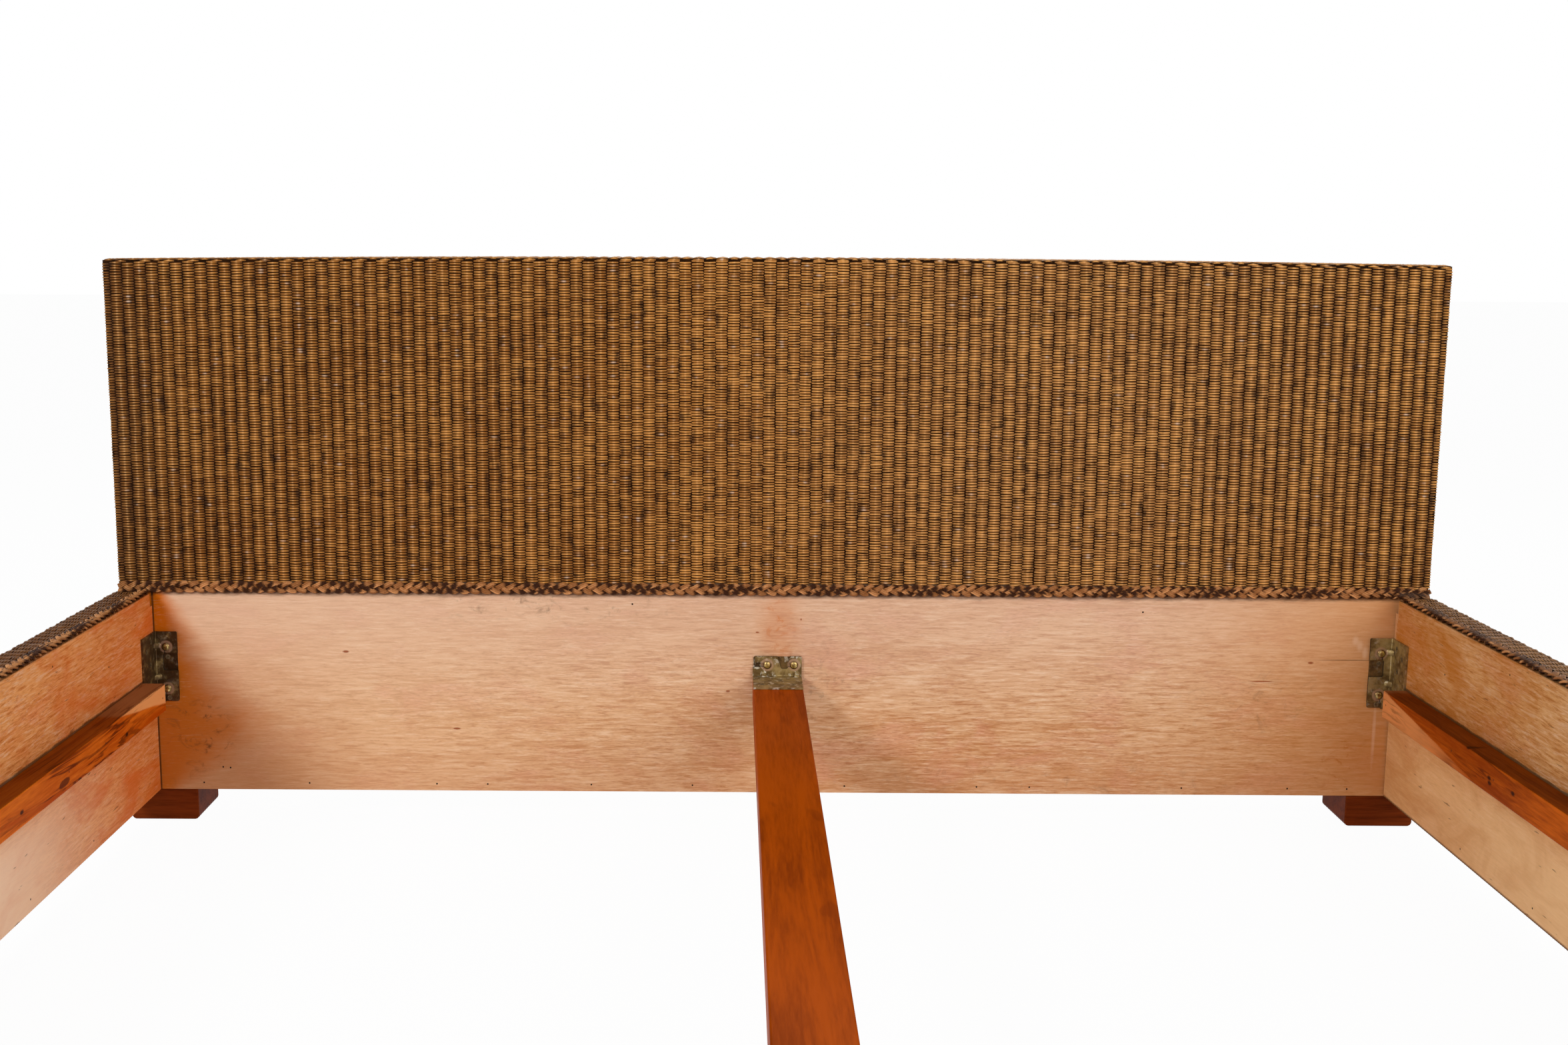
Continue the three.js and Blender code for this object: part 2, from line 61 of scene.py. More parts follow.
eye = Vector((-0.0634, -1.4754, 0.8586))
tilt, turn, roll = (math.radians(angle) for angle in (-9.104, -0.152, 0.290))
ahead = Vector((math.sin(turn) * math.cos(tilt), math.cos(turn) * math.cos(tilt), math.sin(tilt)))
level = ahead.cross(Vector((0, 0, 1))).normalized()
upright = level.cross(ahead)
right = level * math.cos(roll) + upright * math.sin(roll)
up = upright * math.cos(roll) - level * math.sin(roll)

lens = bpy.data.cameras.new("view")
lens.sensor_width = 36
lens.lens = 38.98
lens.shift_x = 0.0365
lens.clip_start = 0.02
camera = new_object("view", lens)
camera.matrix_world = Matrix.Translation(eye) @ Matrix((right, up, -ahead)).transposed().to_4x4()
bpy.context.scene.camera = camera

# TIMBER FRAME
# Posts, rails and blocks of bare softwood inside the headboard and the rails. They are nailed and glued, and
# show only from below.


class Wire:
    """An output of a node. Python's operators on it add Math nodes to its tree."""

    def __init__(self, tree, socket=None):
        self.tree, self.socket = tree, socket

    def node(self, kind, values=None, output=0, **settings):
        """An output of a new node. Its settings are set first, then its inputs get their values or wires."""
        made = self.tree.nodes.new(kind)
        for name, value in settings.items():
            setattr(made, name, value)
        for name, value in (values or {}).items():
            if isinstance(value, Wire):
                self.tree.links.new(value.socket, made.inputs[name])
            else:
                made.inputs[name].default_value = value
        return Wire(self.tree, made.outputs[output])

    def __add__(self, other):
        return maths("ADD", self, other)

    def __radd__(self, other):
        return maths("ADD", other, self)

    def __sub__(self, other):
        return maths("SUBTRACT", self, other)

    def __rsub__(self, other):
        return maths("SUBTRACT", other, self)

    def __mul__(self, other):
        return maths("MULTIPLY", self, other)

    def __rmul__(self, other):
        return maths("MULTIPLY", other, self)

    def __truediv__(self, other):
        return maths("DIVIDE", self, other)

    def __rtruediv__(self, other):
        return maths("DIVIDE", other, self)

    def __abs__(self):
        return maths("ABSOLUTE", self)

    def clamped(self, low, high):
        """0 where this is at or below low, 1 at or above high, and smooth between."""
        values = {"Value": self, "From Min": low, "From Max": high}
        return self.node("ShaderNodeMapRange", values, interpolation_type="SMOOTHSTEP")

    def mixed(self, first, second):
        """The first colour where this is 0, and the second where it is 1. Each is a wire or a tint."""
        first, second = (tint if isinstance(tint, Wire) else colour(tint) for tint in (first, second))
        return self.node("ShaderNodeMix", {0: self, 6: first, 7: second}, 2, data_type="RGBA")


def maths(operation, *values):
    """A Math node of these values, of which at least one is a wire."""
    wire = next(value for value in values if isinstance(value, Wire))
    return wire.node("ShaderNodeMath", dict(enumerate(values)), operation=operation)


def colour(tint):
    """A colour as a picture gives it, 0 to 255, in the linear values that a node wants."""
    shares = (channel / 255 for channel in tint)
    return (*(s / 12.92 if s <= 0.04045 else ((s + 0.055) / 1.055) ** 2.4 for s in shares), 1)


def new_finish(name, roughness, metallic=0.0, specular=0.5):
    """A new material: its tree, its Principled shader, and the place on the piece as a Wire."""
    material = bpy.data.materials.new(name)
    material.use_nodes = True
    shader = material.node_tree.nodes["Principled BSDF"]
    for socket, value in (("Roughness", roughness), ("Metallic", metallic), ("Specular IOR Level", specular)):
        shader.inputs[socket].default_value = value
    place = Wire(material.node_tree).node("ShaderNodeTexCoord", output="Object")
    return material, shader, place


def connect(shader, base, roughness=None, bump=None, depth=0.0):
    """Links the colour and any roughness to the shader, and a height of this depth through a Bump node."""
    normal = bump and bump.node("ShaderNodeBump", {"Height": bump, "Distance": depth, "Strength": 1.0})
    for socket, wire in (("Base Color", base), ("Roughness", roughness), ("Normal", normal)):
        if wire:
            wire.tree.links.new(wire.socket, shader.inputs[socket])


def noise(place, grains, detail=3.0, roughness=0.6, distortion=0.0, shift=0.0):
    """Noise from 0 to 1, with this many grains to a metre: one number, or one for each axis."""
    scale = grains if isinstance(grains, tuple) else (grains,) * 3
    mapped = place.node("ShaderNodeMapping", {"Vector": place, "Scale": scale, "Location": (shift,) * 3})
    shape = {"Scale": 1.0, "Detail": detail, "Roughness": roughness, "Distortion": distortion}
    return place.node("ShaderNodeTexNoise", {"Vector": mapped, **shape})


def dress(material, *words):
    """Gives the material to each node that has one of these words in its name."""
    for name, node in nodes.items():
        if any(word in name for word in words):
            node.data.materials.clear()
            node.data.materials.append(material)


def sawn_softwood():
    material, shader, place = new_finish("sawn_softwood", 0.75)
    figure = noise(place, 9, detail=4, distortion=2.0)
    grain = noise(place, (160, 160, 60))
    tone = (figure * 0.7 + grain * 0.3).clamped(0.3, 0.7)
    connect(shader, tone.mixed((205, 165, 115), (172, 128, 82)), bump=grain, depth=0.4 * MM)
    return material


dress(sawn_softwood(), "post", "upright", "top_rail", "middle_rail", "bottom_rail", "batten", "block")

# LININGS
# Thin pinkish plywood round the mattress well, and the boards that the weave is stapled to. The face grain
# runs along each board. A painted orange-brown shadow of the left rail lies on the headboard's lining in its
# left corner.
INNER = 925 * MM  # from the middle of the bed to the face of a rail's lining
LINING_TOP = 352 * MM


def vectors(operation, first, *others, output=0):
    """A Vector Math node of these values, of which the first is a wire."""
    return first.node("ShaderNodeVectorMath", dict(enumerate((first, *others))), output, operation=operation)


def mark(place, centre, size, soft=0.4):
    """1 inside an ellipsoid and 0 outside, with a soft rim: for knots, dents and spots."""
    offset = vectors("DIVIDE", vectors("SUBTRACT", place, centre), size)
    return 1 - vectors("LENGTH", offset, output="Value").clamped(1 - soft, 1 + soft)


def sides(wire, axes="XYZ"):
    """A vector's parts along these axes."""
    return [wire.node("ShaderNodeSeparateXYZ", {0: wire}, axis) for axis in axes]


def shaded(tint, *shares):
    """A picture's colour with its red, green and blue each multiplied by a share."""
    return [channel * share for channel, share in zip(tint, shares)]


def plywood(name, along, light, dark):
    """Rotary-cut plywood with its face grain along X, 0, or Y, 1. Gives the colour and bump for more wear."""
    material, shader, place = new_finish(name, 0.6, specular=0.12)

    def grain(run, across, **more):
        return noise(place, (run, across, across) if along == 0 else (across, run, across), **more)

    bands = grain(2.5, 26, distortion=1.2)
    cloud = grain(7, 13, distortion=0.8, shift=3.0)
    fibre = grain(34, 420, detail=4, roughness=0.75, distortion=0.6)
    pores = grain(110, 1100, detail=2, roughness=0.5, shift=1.0)
    streak = grain(26, 290, detail=4, roughness=0.72, distortion=0.5, shift=4.0)
    base = (bands * 0.34 + cloud * 0.26 + fibre * 0.44).clamped(0.38, 0.68).mixed(light, dark)
    base = (streak.clamped(0.5, 0.66) * 0.8).mixed(base, shaded(dark, 0.88, 0.8, 0.68))
    base = ((1 - streak.clamped(0.34, 0.5)) * 0.5).mixed(base, (246, 218, 186))
    base = (cloud.clamped(0.5, 0.72) * 0.35).mixed(base, shaded(light, 1, 0.88, 0.98))
    pore = pores.clamped(0.5, 0.68) * cloud.clamped(0.3, 0.6) * 0.5
    base = pore.mixed(base, shaded(dark, 0.78, 0.6, 0.42))
    return material, shader, place, base, fibre + pores * -0.6


def head_plywood():
    material, shader, place, base, bump = plywood("headboard_plywood", 0, (226, 182, 140), (200, 142, 92))
    x, z = sides(place, "XZ")

    def spot(across, rise, half_width, half_height, soft=0.4):
        """A mark on the face of the headboard's lining."""
        return mark(place, (across, 1.0, rise), (half_width, 1, half_height), soft)

    # The board is paler at the left and the top, and browner at the right and the bottom
    for mask, tint in (
        ((1 - x.clamped(-0.95, 0.1)) * 0.45, (242, 204, 162)),
        (z.clamped(0.12, 0.36) * 0.5, (228, 192, 168)),
        (x.clamped(0.5, 1.0) * 0.75, (206, 140, 74)),
        ((1 - z.clamped(0.02, 0.2)) * 0.35, (196, 134, 92)),
    ):
        base = mask.mixed(base, tint)

    # Painted shadows of the rails fall in orange-brown wedges from the corners: a strong one from the left
    # rail, a faint one from the right, and a broad patch of the left one low in the corner
    shadow_rim_wobble = (noise(place, (9, 9, 22), detail=4) - 0.5) * 0.9
    fall = z.clamped(0.03, 0.16)
    for edge, slope, strength, tint in (
        (x + INNER, 0.6, 1.0, (200, 104, 4)),
        (INNER - x, 0.5, 0.14, (190, 106, 24)),
    ):
        width = (LINING_TOP - z) * fall * slope + 0.02
        rail_shadow = 1 - (edge / width + shadow_rim_wobble).clamped(0.3, 1.4)
        base = (rail_shadow * (bump * -0.9 + 1.3).clamped(0.6, 1.1) * strength).mixed(base, tint)
    base = (spot(-0.84, 0.08, 0.16, 0.13, 0.8) * 0.5).mixed(base, (168, 100, 48))
    smear = noise(place, (34, 34, 48), detail=4, roughness=0.7, distortion=1.0, shift=7.0).clamped(0.52, 0.75)
    for strength, *where in (
        (0.95, -0.853, 0.14, 0.035, 0.04), (0.6, -0.88, 0.13, 0.05, 0.06), (0.5, -0.33, 0.34, 0.16, 0.03),
        (0.4, 0.07, 0.21, 0.06, 0.06), (0.3, 0.45, 0.07, 0.3, 0.03), (0.3, 0.72, 0.19, 0.1, 0.05),
    ):
        base = (spot(*where, 0.8) * smear * strength).mixed(base, (92, 58, 30))

    # Knots, an orange stain over the beam's plate, a hair crack, pale scrapes, an orange patch low in the
    # right corner, dirt and painted shade along the top edge under the braid, and a dark seam in the left
    # corner
    for where in (
        (-0.639, 0.263, 0.0045, 0.0018), (-0.475, 0.145, 0.0055, 0.0016), (0.804, 0.254, 0.004, 0.0016),
        (0.732, 0.225, 0.016, 0.0009), (-0.0235, 0.296, 0.0026, 0.0011), (-0.067, 0.2054, 0.003, 0.0014),
        (0.0415, 0.316, 0.001, 0.0016),
    ):
        base = (spot(*where) * 0.85).mixed(base, (138, 56, 6))
    above_beam = spot(0.008, 0.31, 0.026, 0.06, 0.8) * smear.clamped(-0.6, 0.6)
    base = (above_beam * 0.7).mixed(base, (204, 118, 54))
    crack = spot(0.86, 0.2585, 0.045, 0.0005)
    base = (crack * 0.8).mixed(base, (88, 54, 32))
    for where in (
        (0.905, 0.146, 0.0022, 0.042), (0.869, 0.288, 0.004, 0.006), (0.876, 0.28, 0.004, 0.007),
        (0.884, 0.27, 0.0035, 0.008),
    ):
        base = (spot(*where, 0.7) * 0.3).mixed(base, (240, 208, 180))
    # An orange patch low in the right corner
    low_right_patch = spot(0.87, 0.105, 0.05, 0.05, 0.8) * smear.clamped(-0.3, 0.9)
    base = (low_right_patch * 0.6).mixed(base, (178, 96, 16))
    # Dirt and painted shade darken the top edge under the braid; a dark seam runs down the left corner
    dirt = noise(place, (40, 40, 160), shift=9.0) * 0.01
    edge = (z + dirt).clamped(0.3505, 0.3585) + spot(-0.9253, 0.2, 0.0016, 1, 0.5)
    base = (edge * 0.8).mixed(base, (70, 40, 18))
    connect(shader, base, bump=bump, depth=0.2 * MM)
    return material


def rail_plywood(name, side, light, dark):
    """Side is -1 for the left rail. Dirt has gathered where the ledger meets the lining."""
    material, shader, place, base, bump = plywood(name, 1, light, dark)
    y, z = sides(place, "YZ")
    glow = noise(place, (6, 7, 15), detail=4, distortion=0.8, shift=11.0).clamped(0.44, 0.68)
    near_corner = y.clamped(0.2, 1.0)
    if side < 0:
        warm, bare_and_lit = (212, 96, 16), (255, 222, 190)
        low = (1 - z.clamped(0.12, 0.22)) * (1 - y.clamped(0.4, 0.9))
    else:
        warm, bare_and_lit = (186, 108, 16), (254, 212, 158)
        low = (1 - z.clamped(0.13, 0.22)) * (1 - y.clamped(0.3, 1.1) * 0.35) * 0.9
    # Lower down the lining is paler: bare wood without varnish, and painted light from the floor's bounce
    base = (low * 0.95).mixed(base, bare_and_lit)
    base = ((glow * 0.4 + near_corner * 0.42) * (1 - low * 0.55)).mixed(base, warm)
    # A line of dirt along the ledger's top, and dirt with painted shade along the top edge under the braid
    ragged = noise(place, (30, 30, 200), shift=5.0) * 0.006
    above_ledger = (z - ragged).clamped(0.2262, 0.2294)
    line = (1 - above_ledger) * z.clamped(0.226, 0.2265)
    edge = (z + ragged).clamped(0.3525, 0.3585)
    base = ((line + edge) * 0.8).mixed(base, (58, 32, 14))
    spots = noise(place, (60, 24, 170), detail=2, roughness=0.5, shift=2.0).clamped(0.7, 0.76)
    base = (spots * 0.6).mixed(base, (96, 52, 22))
    if side > 0:
        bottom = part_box("right_rail_lining")[0].z + 0.4 * MM
        base = (1 - z.clamped(bottom, bottom + 4 * MM)).mixed(base, (112, 70, 38))
        blot = noise(place, (60, 60, 25), distortion=0.5, shift=4.0)
        glue = (y + blot * 0.022).clamped(0.999, 1.001) * z.clamped(0.288, 0.292)
        base = (glue * 0.4).mixed(base, (226, 184, 142))
    connect(shader, base, bump=bump, depth=0.2 * MM)
    return material


dress(head_plywood(), "lining", "outer_board", "back_panel")
for name, side, light, dark in (
    ("left_rail", -1, (243, 178, 110), (214, 132, 62)),
    ("right_rail", 1, (230, 180, 122), (202, 140, 78)),
):
    dress(rail_plywood(f"{name}_plywood", side, light, dark), f"{name}_lining", f"{name}_outer_board")

# FEET, LEDGERS AND CENTRE BEAM
# Solid hardwood stained red-brown and varnished, with soft edges. The feet are darker. Each is made from its
# solid, with the edges rounded over.
WELD = 1e-6  # corners of a solid that are nearer than this are one


def stained_wood(name, along, light, dark, heart, streaks, shaded_top=None, pale_end=None, knots_at=()):
    """Along is the axis of the grain, and streaks is how much of the dark heartwood shows. Painted shade
    makes the top face darker, at the height given. The ends are paler past a sloping edge, given as its
    slope, its height and a strength."""
    material, shader, place = new_finish(name, 0.32, specular=0.015)
    grains = [28, 28, 28]
    grains[along] = 2.2
    figure = noise(place, tuple(grains), detail=4, distortion=1.1)
    fine = noise(place, tuple(11 * grain for grain in grains), roughness=0.65)
    cloud = noise(place, (5, 3, 5), roughness=0.55, shift=5.0)
    base = (figure * 0.6 + fine * 0.3 + cloud * 0.3).clamped(0.46, 0.74).mixed(light, dark)
    y, z = sides(place, "YZ")
    # Paler wood towards the ends, past a sloping edge
    if pale_end:
        slope, height, strength = pale_end
        past_edge = (z + (abs(y) - 0.932) * slope - height + (figure - 0.5) * 0.01) * math.copysign(1, slope)
        pale = past_edge.clamped(-0.001, 0.002) * abs(y).clamped(0.6, 0.86) * strength
        base = pale.mixed(base, (236, 162, 100))
    vein = (1 - abs(figure - 0.56).clamped(0.0, 0.035)) * cloud.clamped(0.42, 0.6)
    knots = noise(place, (24, 9, 24), detail=2, roughness=0.5, shift=8.0).clamped(0.68, 0.72)
    for mask in (vein, knots):
        base = (mask * streaks).mixed(base, heart)
    for knot in knots_at:
        base = (mark(place, knot, (0.02, 0.005, 0.0026), 0.5) * 0.9).mixed(base, (40, 16, 6))
    # Painted shade: the top face is darker
    if shaded_top:
        top = z.clamped(shaded_top - 1.2 * MM, shaded_top - 0.4 * MM)
        base = (top * 0.68).mixed(base, shaded(dark, 0.5, 0.5, 0.5))
    connect(shader, base, 0.26 + cloud * 0.2 + fine * 0.12, fine, 0.12 * MM)
    return material


def joined_copy(node, change):
    """A copy of a node's mesh, bare, with its triangles joined up and then changed."""
    mesh = nodes[node].data.copy()
    work = bmesh.new()
    work.from_mesh(mesh)
    bmesh.ops.remove_doubles(work, verts=work.verts, dist=WELD)
    change(work)
    work.to_mesh(mesh)
    work.free()
    mesh.materials.clear()
    return mesh


def flattened(work):
    """Joins the triangles of each flat face."""
    bmesh.ops.dissolve_limit(work, angle_limit=math.radians(1), verts=work.verts, edges=work.edges)


def round_edges(piece, radius, segments, turn_angle):
    """Rounds over the edges that turn by more than this angle."""
    bevel = piece.modifiers.new("edges", "BEVEL")
    bevel.width, bevel.segments, bevel.limit_method = radius, segments, "ANGLE"
    bevel.angle_limit = math.radians(turn_angle)


def settle(piece):
    """Turns a piece with live modifiers, or a curve, into the plain mesh that they make."""
    graph = bpy.context.evaluated_depsgraph_get()
    mesh = bpy.data.meshes.new_from_object(piece.evaluated_get(graph), depsgraph=graph)
    if piece.type == "MESH":
        piece.modifiers.clear()
        piece.data = mesh
        return piece
    name = piece.name
    bpy.data.objects.remove(piece)
    return new_object(name, mesh)


def softened(node, body, radius, segments, materials, turn_angle=30):
    """A piece that stands for a node: its solid with the sharp edges rounded over."""
    mesh = joined_copy(node, flattened)
    for material in materials:
        mesh.materials.append(material)
    mesh.name = node + "_dressed"
    piece = new_object(mesh.name, mesh)
    round_edges(piece, radius, segments, turn_angle)
    mesh.shade_smooth()
    piece.modifiers.new("normals", "WEIGHTED_NORMAL").weight = 100
    settle(piece)
    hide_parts(node)
    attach(piece, body)
    return piece


slat_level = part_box("left_rail_ledger")[1].z
left_wood = stained_wood(
    "left_ledger_wood", 1, (226, 118, 28), (178, 72, 6), (70, 20, 2), 0.8, slat_level, (0.16, 0.2, 0.95),
    [(-0.892, 0.778, 0.198), (-0.892, 0.606, 0.1875), (-0.892, 0.43, 0.205)],
)
right_wood = stained_wood(
    "right_ledger_wood", 1, (206, 100, 20), (142, 58, 6), (60, 16, 2), 0.75, slat_level, (-0.13, 0.229, 0.7),
    [(0.892, 0.5204, 0.2089), (0.892, 0.584, 0.202), (0.892, 0.586, 0.208), (0.892, 0.652, 0.2285)],
)
beam_wood = stained_wood("beam_stained_wood", 1, (174, 73, 0), (138, 54, 0), (108, 36, 0), 0.3)
foot_wood = stained_wood("foot_stained_wood", 0, (122, 52, 18), (82, 31, 9), (40, 12, 4), 0.6)

for body, node, material in (
    ("left_rail", "left_rail_ledger", left_wood),
    ("right_rail", "right_rail_ledger", right_wood),
    ("centre_beam", "centre_beam", beam_wood),
):
    softened(node, body, 1.2 * MM, 2, [material])
for end, side in itertools.product(("headboard", "footboard"), ("left", "right")):
    softened(f"{end}_foot_{side}", "root", 2 * MM, 3, [foot_wood])

# HOOK AND STUD PLATES
# Bent and pressed steel with an olive zinc finish, hung on headed studs of a brass colour. The plates are
# screwed on with countersunk screws. Each is its own solid with the punched edges eased.
CORNER_BASE, CENTRE_BASE = 185 * MM, 228 * MM  # underside of the corner plates, and top of the beam
CENTRE_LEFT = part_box("beam_head_hook")[0].x  # left edge of the centre plates
STUD_AXES = (
    *((side * (INNER - 18.5 * MM), CORNER_BASE + rise * MM) for side in (-1, 1) for rise in (21, 85)),
    *((CENTRE_LEFT + across * MM, CENTRE_BASE + 19.5 * MM) for across in (21.5, 61.5)),
)


def near_studs(place, radius):
    """1 within this distance of a stud's axis."""
    near = 0
    for across, rise in STUD_AXES:
        near = mark(place, (across, 0, rise), (radius, 10, radius), 0.12) + near
    return near


def zinc_finish(name, light, dark):
    material, shader, place = new_finish(name, 0.42, 0.75)
    mottle = noise(place, 90, detail=4, roughness=0.65)
    film = noise(place, 25, roughness=0.5, distortion=1.0, shift=2.0)
    scratch = noise(place, (40, 40, 900), detail=2)
    base = (mottle * 0.6 + film * 0.5).clamped(0.4, 0.68).mixed(light, dark)
    bloom = noise(place, 130, distortion=0.3, shift=6.0).clamped(0.53, 0.66) * film.clamped(0.25, 0.6)
    (x,) = sides(place, "X")
    bloom = bloom * (0.85 - abs(x).clamped(0.3, 0.9) * 0.5)
    base = bloom.mixed(base, (214, 206, 186))
    worn = scratch.clamped(0.66, 0.76) * mottle.clamped(0.5, 0.65) * 0.6
    base = worn.mixed(base, (190, 180, 156))
    # Painted shade on the plates in the left corner, which lie in the left rail's shadow
    left_corner_shade = mark(place, (-0.9, 0.98, 0.24), (0.09, 0.09, 0.12)) * mottle.clamped(0.2, 0.55) * 0.8
    base = left_corner_shade.mixed(base, (60, 34, 12))
    base = (near_studs(place, 9.6 * MM) * 0.6).mixed(base, (204, 166, 136))
    connect(shader, base, 0.34 + film * 0.25, mottle, 0.1 * MM)
    return material


def brass_finish():
    material, shader, place = new_finish("brass_studs", 0.28, 1.0)
    film = noise(place, 300)
    base = film.clamped(0.35, 0.65).mixed((212, 188, 122), (136, 108, 62))
    base = near_studs(place, 4.2 * MM).mixed((116, 90, 58), base)
    connect(shader, base, 0.2 + film * 0.25)
    return material


def punched_edge_finish():
    material, shader, place = new_finish("punched_edges_rust_and_shade", 0.6, 0.6)
    # Rust and painted shade: the cut faces are dark, so that slots and notches show as dark outlines
    rust_and_shade = noise(place, 260).clamped(0.35, 0.65)
    connect(shader, rust_and_shade.mixed((58, 42, 22), (28, 16, 8)))
    return material


zinc = zinc_finish("olive_zinc", (176, 152, 100), (104, 80, 42))
# The stud plates are darker, with dirt and painted shade, so that the notches over them show dark
soiled_and_shaded_zinc = zinc_finish("soiled_and_shaded_zinc", (132, 104, 62), (66, 46, 22))
brass, edge_rust_and_shade = brass_finish(), punched_edge_finish()
HOOKED_LEG = 5 * MM  # from the backs of the stud plates to past a hook plate's hooked leg
STUD_START = 2.2 * MM  # from there to where the studs stand clear of their plate
head_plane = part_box("headboard_stud_plate_left")[1].y  # the backs of the stud plates at each end
foot_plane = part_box("footboard_stud_plate_left")[0].y
for body, pattern in (
    ("left_rail", "left_rail_{}_hook"),
    ("right_rail", "right_rail_{}_hook"),
    ("centre_beam", "beam_{}_hook"),
):
    for end, plane in (("head", head_plane), ("foot", foot_plane)):
        piece = softened(pattern.format(end), body, 0.3 * MM, 2, [zinc, edge_rust_and_shade], 40)
        # The cut faces of the hooked leg take the rust and painted shade
        for polygon in piece.data.polygons:
            on_hooked_leg = abs(polygon.center.y - plane) < HOOKED_LEG
            polygon.material_index = int(on_hooked_leg and abs(polygon.normal.y) < 0.2)
for end, plane in (("head", head_plane), ("foot", foot_plane)):
    for spot in ("left", "right", "centre"):
        node = f"{end}board_stud_plate_{spot}"
        piece = softened(node, "root", 0.25 * MM, 2, [soiled_and_shaded_zinc, brass], 40)
        for polygon in piece.data.polygons:
            polygon.material_index = int(abs(polygon.center.y - plane) > STUD_START)

# SCREWS AND NAILS
# Countersunk cross-head screws hold the plates, and small nails hold the linings and the ledgers. Each kind
# is made once and set on its holes, one mesh for each body.
SCREW_RADIUS, SCREW_DEPTH, SCREW_CROSS = 3.9 * MM, 2.2 * MM, 4.2 * MM
NAIL_RADIUS, NAIL_DEPTH = 1.3 * MM, 0.5 * MM
NAIL_SET = 0.3 * MM  # from a lining's face in to the back of a nail's head
NAIL_STEP = 210 * MM  # along the lining of a rail
LEDGER_FACE = INNER - 33.3 * MM  # from the middle of the bed to the face of a ledger


def new_tree(name, sockets):
    """An empty Geometry Nodes tree with these inputs, and a Wire for its geometry and for each of them."""
    tree = bpy.data.node_groups.new(name, "GeometryNodeTree")
    for label, kind in {"Geometry": "Geometry", **sockets}.items():
        tree.interface.new_socket(label, in_out="INPUT", socket_type="NodeSocket" + kind)
    tree.interface.new_socket("Geometry", in_out="OUTPUT", socket_type="NodeSocketGeometry")
    given = tree.nodes.new("NodeGroupInput")
    return tree, [Wire(tree, socket) for socket in given.outputs if socket.name]


def close_tree(tree, wire, material):
    """Ends a tree in Realize Instances, Set Material and the group's output."""
    real = wire.node("GeometryNodeRealizeInstances", {"Geometry": wire})
    dressed = real.node("GeometryNodeSetMaterial", {"Geometry": real, "Material": material})
    out = tree.nodes.new("NodeGroupOutput")
    tree.links.new(dressed.socket, out.inputs["Geometry"])


def run_tree(piece, tree, values):
    """Adds the tree to a piece, sets its inputs, and turns the result into a plain mesh."""
    modifier = piece.modifiers.new(tree.name, "NODES")
    modifier.node_group = tree
    for item in tree.interface.items_tree:
        if item.in_out == "INPUT" and item.name in values:
            modifier[item.identifier] = values[item.name]
    return settle(piece)


def vector(x=0.0, y=0.0, z=0.0):
    """A vector of these values, of which at least one is a wire."""
    wire = next(value for value in (x, y, z) if isinstance(value, Wire))
    return wire.node("ShaderNodeCombineXYZ", {"X": x, "Y": y, "Z": z})


def fastener_tree():
    """Sets a round sunk head on every point, along the point's facing. Recess is the length of its cross."""
    tree, (spots, radius, depth, recess, seed, material) = new_tree(
        "fasteners",
        {"Radius": "Float", "Depth": "Float", "Recess": "Float", "Seed": "Int", "Material": "Material"},
    )
    cone = {"Vertices": 16, "Radius Top": radius, "Radius Bottom": radius * 0.55, "Depth": depth}
    head = spots.node("GeometryNodeMeshCone", cone)
    thin, deep, lift = recess * 0.24, depth * 0.9, vector(z=depth)
    bars = []
    for long, short in ((recess, thin), (thin, recess)):
        bar = long.node("GeometryNodeMeshCube", {"Size": vector(long, short, deep)})
        bars.append(bar.node("GeometryNodeSetPosition", {"Geometry": bar, "Offset": lift}))
    cut = {"Mesh 1": head, "Mesh 2": bars[0]}
    crossed = head.node("GeometryNodeMeshBoolean", cut, "Mesh", operation="DIFFERENCE")
    tree.links.new(bars[1].socket, crossed.socket.node.inputs["Mesh 2"])
    plain = maths("LESS_THAN", recess, 1e-6)
    head = plain.node("GeometryNodeSwitch", {0: plain, 1: crossed, 2: head}, input_type="GEOMETRY")
    facing = spots.node("GeometryNodeInputNamedAttribute", {"Name": "facing"}, data_type="FLOAT_VECTOR")
    index = spots.node("GeometryNodeInputIndex")
    any_turn = {3: math.tau, "ID": index, "Seed": seed}
    turn = index.node("FunctionNodeRandomValue", any_turn, 1, data_type="FLOAT")
    turn = turn.node("FunctionNodeEulerToRotation", {0: vector(z=turn)})
    turn = turn.node("FunctionNodeAlignRotationToVector", {"Rotation": turn, "Vector": facing}, axis="Z")
    points = spots.node("GeometryNodeMeshToPoints", {"Mesh": spots})
    laid = {"Points": points, "Instance": head, "Rotation": turn}
    close_tree(tree, points.node("GeometryNodeInstanceOnPoints", laid), material)
    return tree


def steel_finish(name, light, dark, roughness):
    material, shader, place = new_finish(name, roughness, 0.8)
    film = noise(place, 400)
    connect(shader, film.clamped(0.3, 0.7).mixed(light, dark), roughness + film * 0.2)
    return material


fastener = fastener_tree()
screw_steel = steel_finish("screw_steel", (150, 136, 108), (92, 78, 52), 0.34)
nail_steel = steel_finish("nail_steel", (58, 42, 30), (34, 22, 14), 0.6)


def fasten(kind, holes_of, values):
    """Fasteners of one kind, one mesh for each body. A hole is a place and the way that it faces."""
    for seed, (body, holes) in enumerate(holes_of.items()):
        name = f"{body}_{kind}"
        mesh = bpy.data.meshes.new(name)
        mesh.from_pydata([place for place, facing in holes], [], [])
        facings = mesh.attributes.new("facing", "FLOAT_VECTOR", "POINT")
        for item, (place, facing) in zip(facings.data, holes):
            item.vector = facing
        piece = run_tree(new_object(name, mesh), fastener, {**values, "Seed": seed})
        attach(piece, body)


